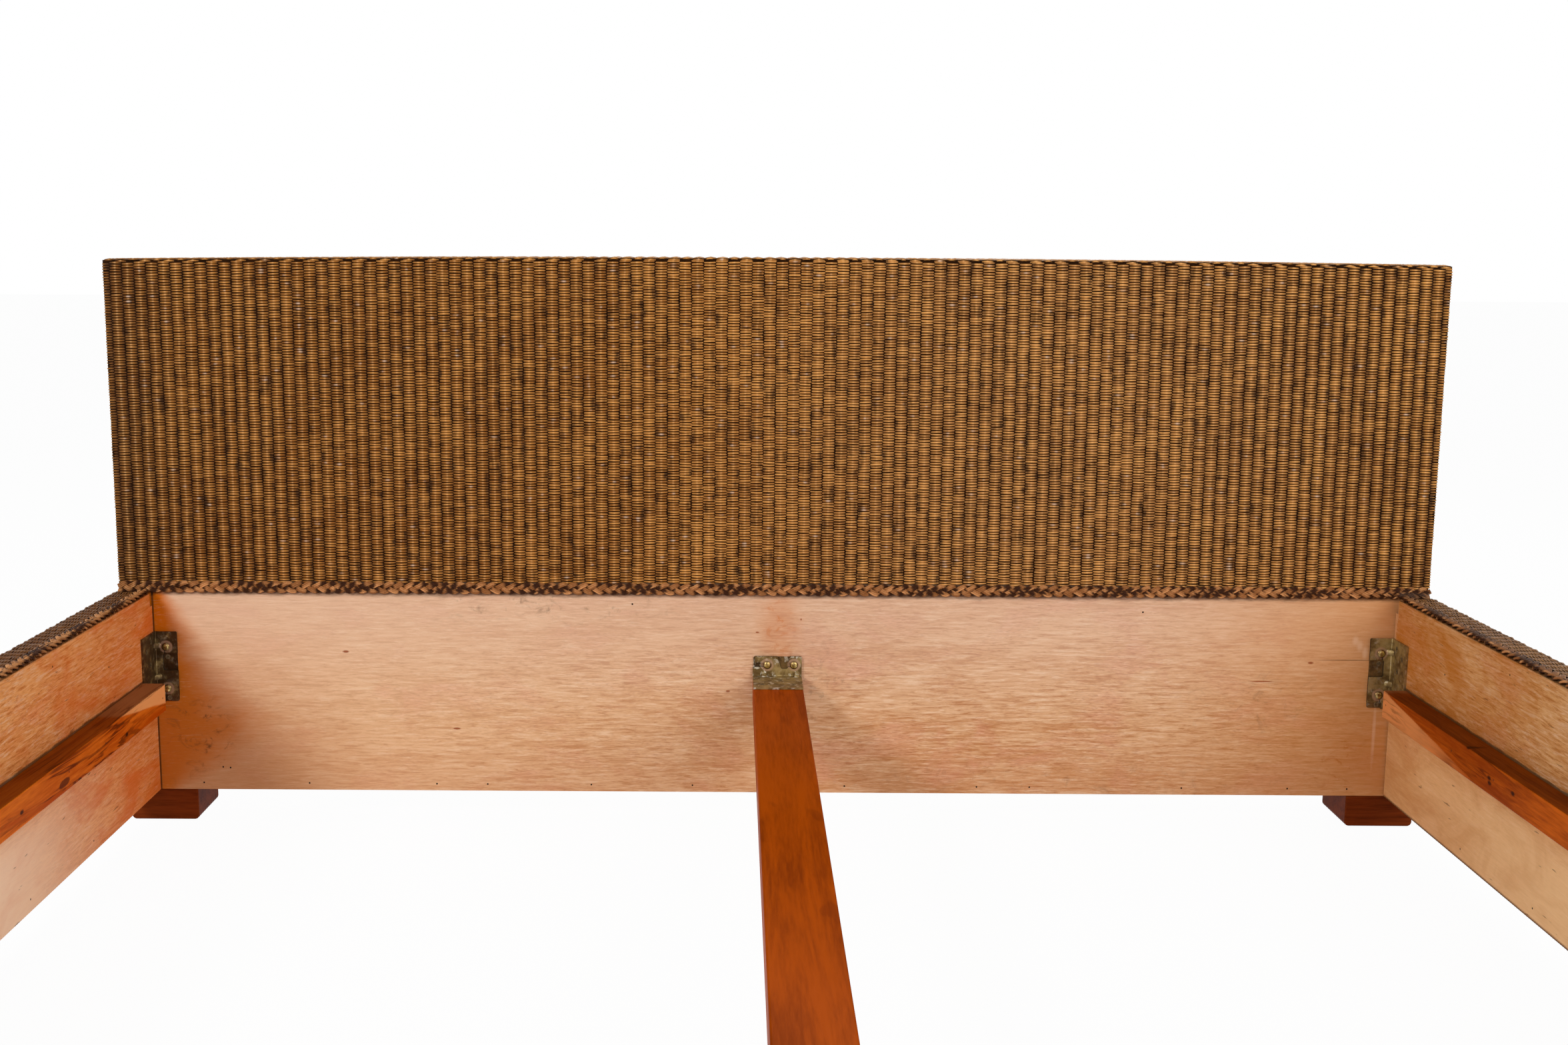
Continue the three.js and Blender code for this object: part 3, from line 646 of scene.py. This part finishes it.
SEAT = 2.8 * MM  # from a rail's lining or the beam's top to the outer face of a hook plate on it
STUD_SEAT = 2 * MM  # from the back of a stud plate to its outer face
sunk = STUD_SEAT - 1.05 * SCREW_DEPTH
screws = {"root": [], "left_rail": [], "right_rail": [], "centre_beam": []}
for plane, out in ((head_plane, -1), (foot_plane, 1)):
    for side, body in ((-1, "left_rail"), (1, "right_rail")):
        for along, rise in ((22, 96), (43, 85), (28, 63), (43, 22)):
            place = (side * (INNER - SEAT + SCREW_DEPTH), plane + out * along * MM, CORNER_BASE + rise * MM)
            screws[body].append((place, (-side, 0, 0)))
        for along, rise in ((20, 6), (20, 69)):
            place = (side * (INNER - along * MM), plane + out * sunk, CORNER_BASE + rise * MM)
            screws["root"].append((place, (0, out, 0)))
    for along, across in ((30, 40), (56, 14), (56, 59)):
        place = (CENTRE_LEFT + across * MM, plane + out * along * MM, CENTRE_BASE + SEAT - SCREW_DEPTH)
        screws["centre_beam"].append((place, (0, 0, 1)))
    for rise, across in ((9, 31), (9, 46)):
        place = (CENTRE_LEFT + across * MM, plane + out * sunk, CENTRE_BASE + rise * MM)
        screws["root"].append((place, (0, out, 0)))
fasten("screws", screws, {
    "Radius": SCREW_RADIUS, "Depth": SCREW_DEPTH, "Recess": SCREW_CROSS, "Material": screw_steel,
})

nails = {"root": [], "left_rail": [], "right_rail": []}
low_row = (-0.86, -0.70, -0.507, -0.43, -0.273, -0.12, 0.11, 0.31, 0.39, 0.62, 0.78, 0.87)
for across, rise in (
    *((across, 0.0585) for across in low_row),
    (-0.83, 0.083), (-0.819, 0.082), (0.55, 0.33), (-0.21, 0.338),
):
    nails["root"].append(((across, head_plane + NAIL_SET, rise), (0, -1, 0)))
for side, body in ((-1, "left_rail"), (1, "right_rail")):
    facing = (-side, 0, 0)
    for number in range(-4, 5):
        for rise in (0.064, 0.332 if number % 2 else 0.284):
            place = (side * (INNER + NAIL_SET), number * NAIL_STEP + 0.4 * rise - 0.14, rise)
            nails[body].append((place, facing))
    for along in (0.928, 0.70, 0.574, 0.2, -0.25, -0.6, -0.98):
        nails[body].append(((side * (LEDGER_FACE + NAIL_DEPTH), along, 0.209), facing))
fasten("nails", nails, {"Radius": NAIL_RADIUS, "Depth": NAIL_DEPTH, "Recess": 0.0, "Material": nail_steel})

# WOVEN SKINS
# Thin antique-brown wicker strands, woven over and under upright stakes on a dark ground: a sheet in painted
# shade for the stakes and the strands behind. Every strand passes over one stake and under the next, so each
# column shows every second strand as a short crown, half a step off its neighbours.
STAKE_PITCH = 17.4 * MM
STRAND_PITCH = 1.925 * MM
CROWN_HEIGHT = 2.3 * MM
CROWN_WIDTH = 2.55 * MM
RAIL_CROWN_WIDTH = 3 * MM
CROWN_LAP = 1.04  # a crown's length, in stake pitches
EDGE_RADIUS = 3 * MM
HEAD_CORNER = 843 * MM  # height of the headboard at its corners
STEP_LEVEL = 236 * MM  # along a rail's path, above which its head end is stepped back
UP = (0, 0, 1)


def stored(geometry, name, value, data_type="FLOAT", domain="POINT"):
    """The geometry with this value stored on it."""
    values = {"Geometry": geometry, "Name": name, "Value": value}
    return geometry.node("GeometryNodeStoreNamedAttribute", values, data_type=data_type, domain=domain)


def scaled(direction, amount):
    """A direction times an amount, which is a wire."""
    return amount.node("ShaderNodeVectorMath", {0: direction, "Scale": amount}, operation="SCALE")


def woven_tree():
    """Lays crowns over a sheet: a path swept along an axis. Strands run along the path or along the axis."""
    tree, given = new_tree(
        "woven_crowns",
        {
            "Follow": "Bool", "Stakes": "Int", "Strands": "Int", "Stake Pitch": "Float",
            "Strand Pitch": "Float", "Crown Height": "Float", "Crown Width": "Float", "Axis": "Vector",
            "Step Stake": "Int", "Step Level": "Float", "Rise": "Float", "Rise Half": "Float",
            "Rise Base": "Float", "Rise Top": "Float", "Seed": "Int", "Material": "Material",
        },
    )
    path, follow, stakes, strands, stake_pitch, strand_pitch, crown_height, width, axis, *more = given
    step_stake, step_level, rise, rise_half, rise_base, rise_top, seed, material = more

    # One crown: a short arch over a stake, rounded across, narrower and with closer vertices where it dives
    grid = {"Size X": stake_pitch * CROWN_LAP, "Size Y": width, "Vertices X": 5, "Vertices Y": 3}
    crown = path.node("GeometryNodeMeshGrid", grid)
    along, across = sides(path.node("GeometryNodeInputPosition"), "XY")
    run = abs(along) / (stake_pitch * (CROWN_LAP / 2))
    side = abs(across) / (width * 0.5)
    ease = 2.28 - run * 1.28
    reach = run * ease
    height = crown_height * (1 - reach * reach * reach - side * side * 0.36)
    arch = vector(along * ease, across * (1 - run * run * 0.16), height)
    crown = stored(crown, "level", 1 - reach * reach - side * 0.2)
    crown = crown.node("GeometryNodeSetPosition", {"Geometry": crown, "Position": arch})

    # A point for every crossing of a stake and a strand, with crowns on every second one
    index = path.node("GeometryNodeInputIndex")
    stake = maths("FLOOR", index / strands)
    strand = index - stake * strands

    def random(low, high, offset):
        values = {2: low, 3: high, "ID": index, "Seed": seed + offset}
        return index.node("FunctionNodeRandomValue", values, 1, data_type="FLOAT")

    jitter = random(-0.08, 0.08, 1)
    line = vector(stake * 5.3, strand * 0.045, seed)
    sway = index.node("ShaderNodeTexNoise", {"Vector": line, "Scale": 1.0, "Detail": 2.0}) - 0.5
    sway = sway + random(-0.04, 0.04, 7)
    spot = vector((stake + 0.5 + sway * 0.2) * stake_pitch, (strand + 0.5 + jitter) * strand_pitch)
    points = path.node("GeometryNodePoints", {"Count": stakes * strands, "Position": spot})
    stepped = maths("COMPARE", stake, step_stake, 0.1)
    stepped = stepped * maths("GREATER_THAN", strand * strand_pitch, step_level)
    shown = (1 - maths("MODULO", stake + strand, 2.0)) * (1 - stepped)
    turned = vector(random(-0.2, 0.2, 2), 0.0, random(-0.035, 0.035, 3))
    size = vector(random(0.93, 1.04, 8), random(0.84, 1.12, 4), random(0.8, 1.12, 5))
    laid = {"Points": points, "Selection": shown, "Instance": crown, "Rotation": turned, "Scale": size}
    laid = points.node("GeometryNodeInstanceOnPoints", laid)
    laid = stored(laid, "tone", random(0.0, 1.0, 6), domain="INSTANCE")
    flat = laid.node("GeometryNodeRealizeInstances", {"Geometry": laid})

    # The flat cloth keeps its own map, and is then bent round the path
    u, v, w = sides(flat.node("GeometryNodeInputPosition"))
    map_at = vector(u / (stakes * stake_pitch), v / (strands * strand_pitch))
    flat = stored(flat, "OFBake", map_at, "FLOAT2", "CORNER")
    along = u.node("GeometryNodeSwitch", {0: follow, 1: v, 2: u}, input_type="FLOAT")
    across = u.node("GeometryNodeSwitch", {0: follow, 1: u, 2: v}, input_type="FLOAT")
    at = {"Curves": path, "Length": along}
    base, heading = (
        along.node("GeometryNodeSampleCurve", at, output, mode="LENGTH", use_all_curves=True)
        for output in ("Position", "Tangent")
    )
    out = scaled(vectors("CROSS_PRODUCT", heading, axis), w)
    bent = vectors("ADD", vectors("ADD", base, scaled(axis, across)), out)

    # The headboard's top edge rises a little towards the middle
    x, z = sides(bent, "XZ")
    share = x / rise_half
    lift = rise * (1 - share * share) * ((z - rise_base) / (rise_top - rise_base))
    bent = vectors("ADD", bent, vector(z=lift))
    cloth = flat.node("GeometryNodeSetPosition", {"Geometry": flat, "Position": bent})
    smooth = cloth.node("GeometryNodeSetShadeSmooth", {"Geometry": cloth, "Shade Smooth": True})
    close_tree(tree, smooth, material)
    return tree


def outer_side(x, z):
    """1 on the right rail, which is greyer than the rest."""
    return x.clamped(0.925, 0.93) * (1 - z.clamped(0.36, 0.365))


def attribute(place, name):
    return place.node("ShaderNodeAttribute", output="Fac", attribute_name=name)


def wicker_finish():
    material, shader, place = new_finish("antique_wicker", 0.4, specular=0.14)
    tone, level = attribute(place, "tone"), attribute(place, "level")
    patch = noise(place, (14, 14, 6), detail=4, distortion=0.6)
    dirt = noise(place, (90, 90, 45), shift=4.0)
    bands = noise(place, (3.5, 3.5, 1.2), shift=6.0)
    speck = noise(place, (420, 420, 260), detail=2, shift=9.0)
    x, z = sides(place, "XZ")
    outer = abs(x).clamped(-0.1, 0.8)
    warm = (tone * 0.3 + patch * 0.6 + speck * 0.35).clamped(0.38, 0.85)
    base = warm.mixed((212, 146, 70), (152, 94, 34))
    # Painted shade: darker towards the left, and darker still in the left corner
    base = ((1 - x.clamped(-1.2, 0.4)) * 0.42).mixed(base, (122, 68, 8))
    base = ((1 - x.clamped(-0.98, -0.84)) * 0.4).mixed(base, (74, 42, 16))
    paler = mark(place, (0.45, 1.0, 0.6), (0.4, 1, 0.5), 0.8) * 0.16
    base = paler.mixed(base, (240, 186, 126))

    # Stain, dirt and painted shade lie deep between the crowns, and a painted highlight runs along their tops
    glaze_and_shade = (bands.clamped(0.35, 0.65) * 0.35 + outer * 0.5 + 0.06) * (1 - level.clamped(-0.05, 0.75))
    base = glaze_and_shade.mixed(base, (58, 30, 6))
    base = (level.clamped(0.66, 1.0) * 0.5).mixed(base, (236, 180, 116))
    stained = dirt.clamped(0.5, 0.72) * (1 - level.clamped(0.3, 1.1)) * 0.8
    base = stained.mixed(base, (38, 19, 6))
    sheen = tone.clamped(0.9, 0.97) * dirt.clamped(0.45, 0.62) * level.clamped(0.4, 0.9)
    base = (sheen * 0.55).mixed(base, (222, 196, 174))
    base = (outer_side(x, z) * 0.58).mixed(base, (104, 78, 58))
    left_rail = (1 - x.clamped(-0.93, -0.925)) * (1 - z.clamped(0.36, 0.365))
    base = (left_rail * 0.55).mixed(base, (92, 50, 20))
    connect(shader, base, 0.4 + tone * 0.2)
    return material


def shaded_ground_finish():
    material, shader, place = new_finish("wicker_ground_in_shade", 0.9, specular=0.05)
    # Painted shade: a dark sheet for the stakes and the strands behind the crowns
    connect(shader, noise(place, 60).clamped(0.3, 0.7).mixed((46, 24, 7), (28, 14, 4)))
    return material


def path_curve(name, corners, radius):
    """A curve through these corners, each rounded by an arc, and its length."""
    corners = [Vector(corner) for corner in corners]
    points = corners[:1]
    for before, corner, after in zip(corners, corners[1:], corners[2:]):
        into, out = (corner - before).normalized(), (after - corner).normalized()
        centre = corner - into * radius + out * radius
        for step in range(7):
            angle = math.radians(15 * step)
            points.append(centre - out * radius * math.cos(angle) + into * radius * math.sin(angle))
    points.append(corners[-1])
    curve = bpy.data.curves.new(name, "CURVE")
    curve.dimensions = "3D"
    spline = curve.splines.new("POLY")
    spline.points.add(len(points) - 1)
    for point, at in zip(spline.points, points):
        point.co = (*at, 1)
    return new_object(name, curve), sum((b - a).length for a, b in zip(points, points[1:]))


head_low, head_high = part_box("headboard_skin")
head_rise = head_high.z - HEAD_CORNER
woven, wicker, shaded_ground = woven_tree(), wicker_finish(), shaded_ground_finish()
weave_seeds = itertools.count(10, 10)


def weave(name, body, corners, axis, extent, follow, step=None, rise=0.0, width=CROWN_WIDTH):
    """A woven sheet: a path through corners, swept over its extent along the axis. Its strands follow the
    path or the axis. A step is the number of a stake, and the level above which its column is left out."""
    path, length = path_curve(name, corners, EDGE_RADIUS)
    wide, tall = (length, extent) if follow else (extent, length)
    stakes, strands = round(wide / STAKE_PITCH), round(tall / STRAND_PITCH)
    piece = run_tree(path, woven, {
        "Follow": follow, "Stakes": stakes, "Strands": strands, "Stake Pitch": wide / stakes,
        "Strand Pitch": tall / strands, "Crown Height": CROWN_HEIGHT, "Crown Width": width, "Axis": axis,
        "Step Stake": step[0] % stakes if step else -1, "Step Level": step[1] if step else 0.0, "Rise": rise,
        "Rise Half": head_high.x, "Rise Base": head_low.z, "Rise Top": HEAD_CORNER, "Seed": next(weave_seeds),
        "Material": wicker,
    })
    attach(piece, body)


def woven_wall(name, plan, foot, top, rise=0.0):
    """An upright woven sheet of the headboard or the foot rail, over a path in plan."""
    weave(name, "root", [(*at, foot) for at in plan], UP, top - foot, True, rise=rise)


def woven_ground(node, body, faces, rise=0.0):
    """The dark ground behind a weave, a sheet in painted shade for the stakes and the strands behind: the
    node's solid, with its outer faces drawn in under the crowns.
    """
    low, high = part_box(node)
    outer = max(abs(low.x), abs(high.x))
    near = 1 * MM

    def draw_in(work):
        for vertex in work.verts:
            at = vertex.co
            if abs(at.x) > outer - near:
                at.x -= math.copysign(CROWN_HEIGHT, at.x)
            if "front" in faces and at.y < low.y + near:
                at.y += CROWN_HEIGHT
            if "back" in faces and at.y > high.y - near:
                at.y -= CROWN_HEIGHT
            if at.z > high.z - rise * (at.x / outer) ** 2 - 2.5 * near:
                at.z -= CROWN_HEIGHT

    mesh = joined_copy(node, draw_in)
    mesh.materials.append(shaded_ground)
    piece = new_object(node + "_ground", mesh)
    round_edges(piece, EDGE_RADIUS * 0.8, 3, 60)
    settle(piece)
    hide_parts(node)
    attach(piece, body)


woven_ground("headboard_skin", "root", ("front", "back"), head_rise)
woven_ground("footboard_skin", "root", ("front",))
woven_ground("left_rail_skin", "left_rail", ())
woven_ground("right_rail_skin", "right_rail", ())

side_x, front_y = head_high.x - CROWN_HEIGHT, head_low.y + CROWN_HEIGHT
back_y = head_high.y - CROWN_HEIGHT
weave_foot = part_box("headboard_braid")[1].z - 2 * STRAND_PITCH  # the braid covers its last strands
roof = HEAD_CORNER - CROWN_HEIGHT
corner_top = roof - EDGE_RADIUS
past_corner = STAKE_PITCH / 2 + EDGE_RADIUS * 0.3  # how far a sheet runs on round a corner
turn_y, turn_x = front_y + past_corner, side_x - past_corner
for part, plan in (
    ("left", [(-side_x, turn_y), (-side_x, front_y), (0, front_y)]),
    ("right", [(0, front_y), (side_x, front_y), (side_x, turn_y)]),
):
    woven_wall(f"headboard_front_{part}", plan, weave_foot, corner_top, head_rise)
third = turn_x * 2 / 3
for part, plan in (
    ("edge_left", [(-turn_x, back_y), (-side_x, back_y), (-side_x, turn_y)]),
    ("edge_right", [(side_x, turn_y), (side_x, back_y), (turn_x, back_y)]),
    ("back_left", [(third - turn_x, back_y), (-turn_x, back_y)]),
    ("back_middle", [(2 * third - turn_x, back_y), (third - turn_x, back_y)]),
    ("back_right", [(turn_x, back_y), (turn_x - third, back_y)]),
):
    woven_wall(f"headboard_{part}", plan, head_low.z, corner_top, head_rise)
over_head = [(side_x, front_y, corner_top), (side_x, front_y, roof), (side_x, back_y, roof),
             (side_x, back_y, corner_top)]
weave("headboard_top", "root", over_head, (-1, 0, 0), side_x * 2, False, rise=head_rise)

foot_low, foot_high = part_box("footboard_skin")
foot_x, foot_y = foot_high.x - CROWN_HEIGHT, foot_low.y + CROWN_HEIGHT
foot_top = foot_high.z - CROWN_HEIGHT
shoulder = foot_top - EDGE_RADIUS
for part, plan in (
    ("left", [(-foot_x, foot_plane), (-foot_x, foot_y), (0, foot_y)]),
    ("right", [(0, foot_y), (foot_x, foot_y), (foot_x, foot_plane)]),
):
    woven_wall(f"footboard_{part}", plan, foot_low.z, shoulder)
foot_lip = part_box("footboard_braid")[0].y
over_foot = [(foot_x, foot_y, shoulder), (foot_x, foot_y, foot_top), (foot_x, foot_lip, foot_top)]
weave("footboard_top", "root", over_foot, (-1, 0, 0), foot_x * 2, False)

rail_low, rail_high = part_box("right_rail_skin")
rail_x, rail_top = rail_high.x - CROWN_HEIGHT, rail_high.z - CROWN_HEIGHT
rail_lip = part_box("right_rail_braid")[1].x
for name, side, start, axis, head_stake in (
    ("left_rail", -1, rail_low.y, (0, 1, 0), -1),
    ("right_rail", 1, rail_high.y, (0, -1, 0), 0),
):
    section = ((rail_x, rail_low.z), (rail_x, rail_top), (rail_lip, rail_top))
    over_rail = [(side * x, start, z) for x, z in section]
    weave(f"{name}_weave", name, over_rail, axis, rail_high.y - rail_low.y, False, (head_stake, STEP_LEVEL),
          width=RAIL_CROWN_WIDTH)

# BRAID
# A flat three-strand plait of wicker covers the raw edge of the weave: along the foot of the headboard's
# front and along the inner top edges of the rails. Each strand is three thin canes side by side.
PLAIT_LENGTH = 51 * MM  # in which a strand crosses the plait and comes back
PLAIT_SWING = 5.2 * MM
PLAIT_DEPTH = 2.4 * MM
CANE_GAP = 2.2 * MM
CANE_RADIUS = 1.5 * MM
CANE_STRAY = 1.2 * MM  # how loosely a cane lies
CANE_DROP = 0.35 * MM  # of a strand's outer canes below its middle one


def plait_tree():
    """Nine canes in three strands, plaited along a straight path."""
    tree, given = new_tree(
        "plait",
        {
            "Spacing": "Float", "Period": "Float", "Swing": "Float", "Depth": "Float", "Gap": "Float",
            "Radius": "Float", "Across": "Vector", "Out": "Vector", "Along": "Vector", "Seed": "Int",
            "Material": "Material",
        },
    )
    path, spacing, period, swing, depth, gap, radius, across_way, out_way, along_way, seed, material = given
    fine = path.node("GeometryNodeResampleCurve", {"Curve": path, "Length": spacing}, mode="LENGTH")
    canes = fine.node("GeometryNodeDuplicateElements", {"Geometry": fine, "Amount": 9}, domain="SPLINE")
    which = Wire(tree, canes.socket.node.outputs["Duplicate Index"])
    strand = maths("FLOOR", which / 3.0)
    place = which - strand * 3.0 - 1.0
    run = path.node("GeometryNodeSplineParameter", output="Length")
    angle = run * math.tau / period + strand * (math.tau / 3)
    wave, thrice = maths("SINE", angle * 2.0), angle * 3.0
    lean = swing * (maths("COSINE", angle) - maths("COSINE", thrice) * 0.33) * (math.tau / period)
    norm = maths("SQRT", lean * lean + 1.0)
    at = path.node("GeometryNodeInputPosition")
    wobble = {"Vector": at, "W": which * 3.1 + seed, "Scale": 60.0, "Detail": 1.0}
    loose = (path.node("ShaderNodeTexNoise", wobble, noise_dimensions="4D") - 0.5) * CANE_STRAY
    across = swing * (maths("SINE", angle) - maths("SINE", thrice) * 0.11) + place * gap / norm + loose
    along = place * gap * lean * -1.0 / norm
    out = depth * wave - place * place * CANE_DROP + loose * 0.3
    shift = vectors("ADD", scaled(across_way, across), scaled(along_way, along))
    shift = vectors("ADD", shift, scaled(out_way, out))
    canes = canes.node("GeometryNodeSetPosition", {"Geometry": canes, "Offset": shift})
    tone = path.node("FunctionNodeRandomValue", {"ID": which, "Seed": seed}, 1, data_type="FLOAT")
    canes = stored(stored(canes, "tone", tone), "level", wave)
    ring = path.node("GeometryNodeCurvePrimitiveCircle", {"Resolution": 6, "Radius": radius})
    solid = canes.node("GeometryNodeCurveToMesh", {"Curve": canes, "Profile Curve": ring, "Fill Caps": True})
    solid = solid.node("GeometryNodeSetShadeSmooth", {"Geometry": solid, "Shade Smooth": True})
    close_tree(tree, solid, material)
    return tree


def braid_finish():
    material, shader, place = new_finish("braid_wicker", 0.4, specular=0.1)
    tone, level = attribute(place, "tone"), attribute(place, "level")
    patch = noise(place, 60, detail=4)
    streak = noise(place, 300, detail=2)
    base = (tone * 0.4 + patch * 0.5 + streak * 0.2).clamped(0.3, 0.8).mixed((215, 152, 97), (145, 92, 50))
    # Painted shade where the canes dive under the others
    base = (1 - level.clamped(-0.8, 0.45)).mixed(base, (56, 27, 9))
    base = (outer_side(*sides(place, "XZ")) * 0.5).mixed(base, (96, 74, 60))
    connect(shader, base, 0.36 + patch * 0.25, streak, 0.3 * MM)
    return material


plait, braid_wicker = plait_tree(), braid_finish()
for seed, (node, body, along, across, out) in enumerate((
    ("headboard_braid", "root", (1, 0, 0), (0, 0, 1), (0, -1, 0)),
    ("footboard_braid", "root", (1, 0, 0), (0, 1, 0), (0, 0, 1)),
    ("left_rail_braid", "left_rail", (0, 1, 0), (1, 0, 0), (0, 0, 1)),
    ("right_rail_braid", "right_rail", (0, 1, 0), (1, 0, 0), (0, 0, 1)),
)):
    low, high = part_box(node)
    middle, half = (low + high) / 2, (high - low) / 2
    reach = Vector(along) * (half.dot(Vector(along)) - CANE_RADIUS)
    path, length = path_curve(node + "_plait", [middle - reach, middle + reach], 0)
    piece = run_tree(path, plait, {
        "Spacing": PLAIT_LENGTH / 18, "Period": PLAIT_LENGTH, "Swing": PLAIT_SWING, "Depth": PLAIT_DEPTH,
        "Gap": CANE_GAP, "Radius": CANE_RADIUS, "Across": across, "Out": out, "Along": along, "Seed": seed,
        "Material": braid_wicker,
    })
    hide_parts(node)
    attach(piece, body)

# STUDIO
# A white floor that keeps a soft shadow, a white surround, and three soft lamps above the bed: one at each
# side of the foot end and one behind the headboard.
SURROUND = 0.42  # strength of the surround as a light on the bed
FLOOR_REACH = 30
FLOOR_DROP = 0.5 * MM
FLOOR_GLOW = 0.965  # how much of the floor's white comes from its own glow, where it is seen directly


def studio_light(name, at, aim, size, power):
    lamp = bpy.data.lights.new(name, "AREA")
    lamp.shape, lamp.size, lamp.energy = "DISK", size, power
    light = new_object(name, lamp)
    light.location = at
    light.rotation_euler = (Vector(aim) - Vector(at)).to_track_quat("-Z", "Y").to_euler()


def seen_directly(tree):
    """1 for a ray from the camera, or from gloss or glass, so that these see a white studio."""
    from_camera, from_gloss, through_glass = (
        Wire(tree).node("ShaderNodeLightPath", output=f"Is {kind} Ray")
        for kind in ("Camera", "Glossy", "Transmission")
    )
    return maths("MAXIMUM", from_camera, maths("MAXIMUM", from_gloss, through_glass))


world = bpy.data.worlds.new("studio")
world.use_nodes = True
bpy.context.scene.world = world
surround = world.node_tree.nodes["Background"]
surround.inputs["Color"].default_value = (1, 1, 1, 1)
strength = seen_directly(world.node_tree) * (1 - SURROUND) + SURROUND
world.node_tree.links.new(strength.socket, surround.inputs["Strength"])

corners = [(x * FLOOR_REACH, y * FLOOR_REACH, 0) for x, y in ((-1, -1), (1, -1), (1, 1), (-1, 1))]
floor_mesh = bpy.data.meshes.new("floor")
floor_mesh.from_pydata(corners, [], [(0, 1, 2, 3)])
floor = new_object("floor", floor_mesh)
floor.location.z = -FLOOR_DROP
floor_finish, floor_shader, place = new_finish("white_floor", 0.9, specular=0.1)
floor_shader.inputs["Base Color"].default_value = (0.9, 0.9, 0.9, 1)
share = seen_directly(floor_finish.node_tree) * FLOOR_GLOW
glow = place.node("ShaderNodeEmission", {"Strength": 1.0})
lit = Wire(place.tree, floor_shader.outputs[0])
surface = place.node("ShaderNodeMixShader", {0: share, 1: lit, 2: glow})
place.tree.links.new(surface.socket, place.tree.nodes["Material Output"].inputs["Surface"])
floor_mesh.materials.append(floor_finish)

studio_light("left_lamp", (-2.2, -1.9, 2.1), (0, 0.8, 0.4), 0.8, 52)
studio_light("right_lamp", (2.3, -2.1, 2.1), (0, 0.8, 0.4), 2.8, 66)
studio_light("back_lamp", (0.5, 4.2, 2.4), (0, 0.4, 0.4), 2.4, 50)

bpy.context.scene.view_settings.view_transform = "Standard"
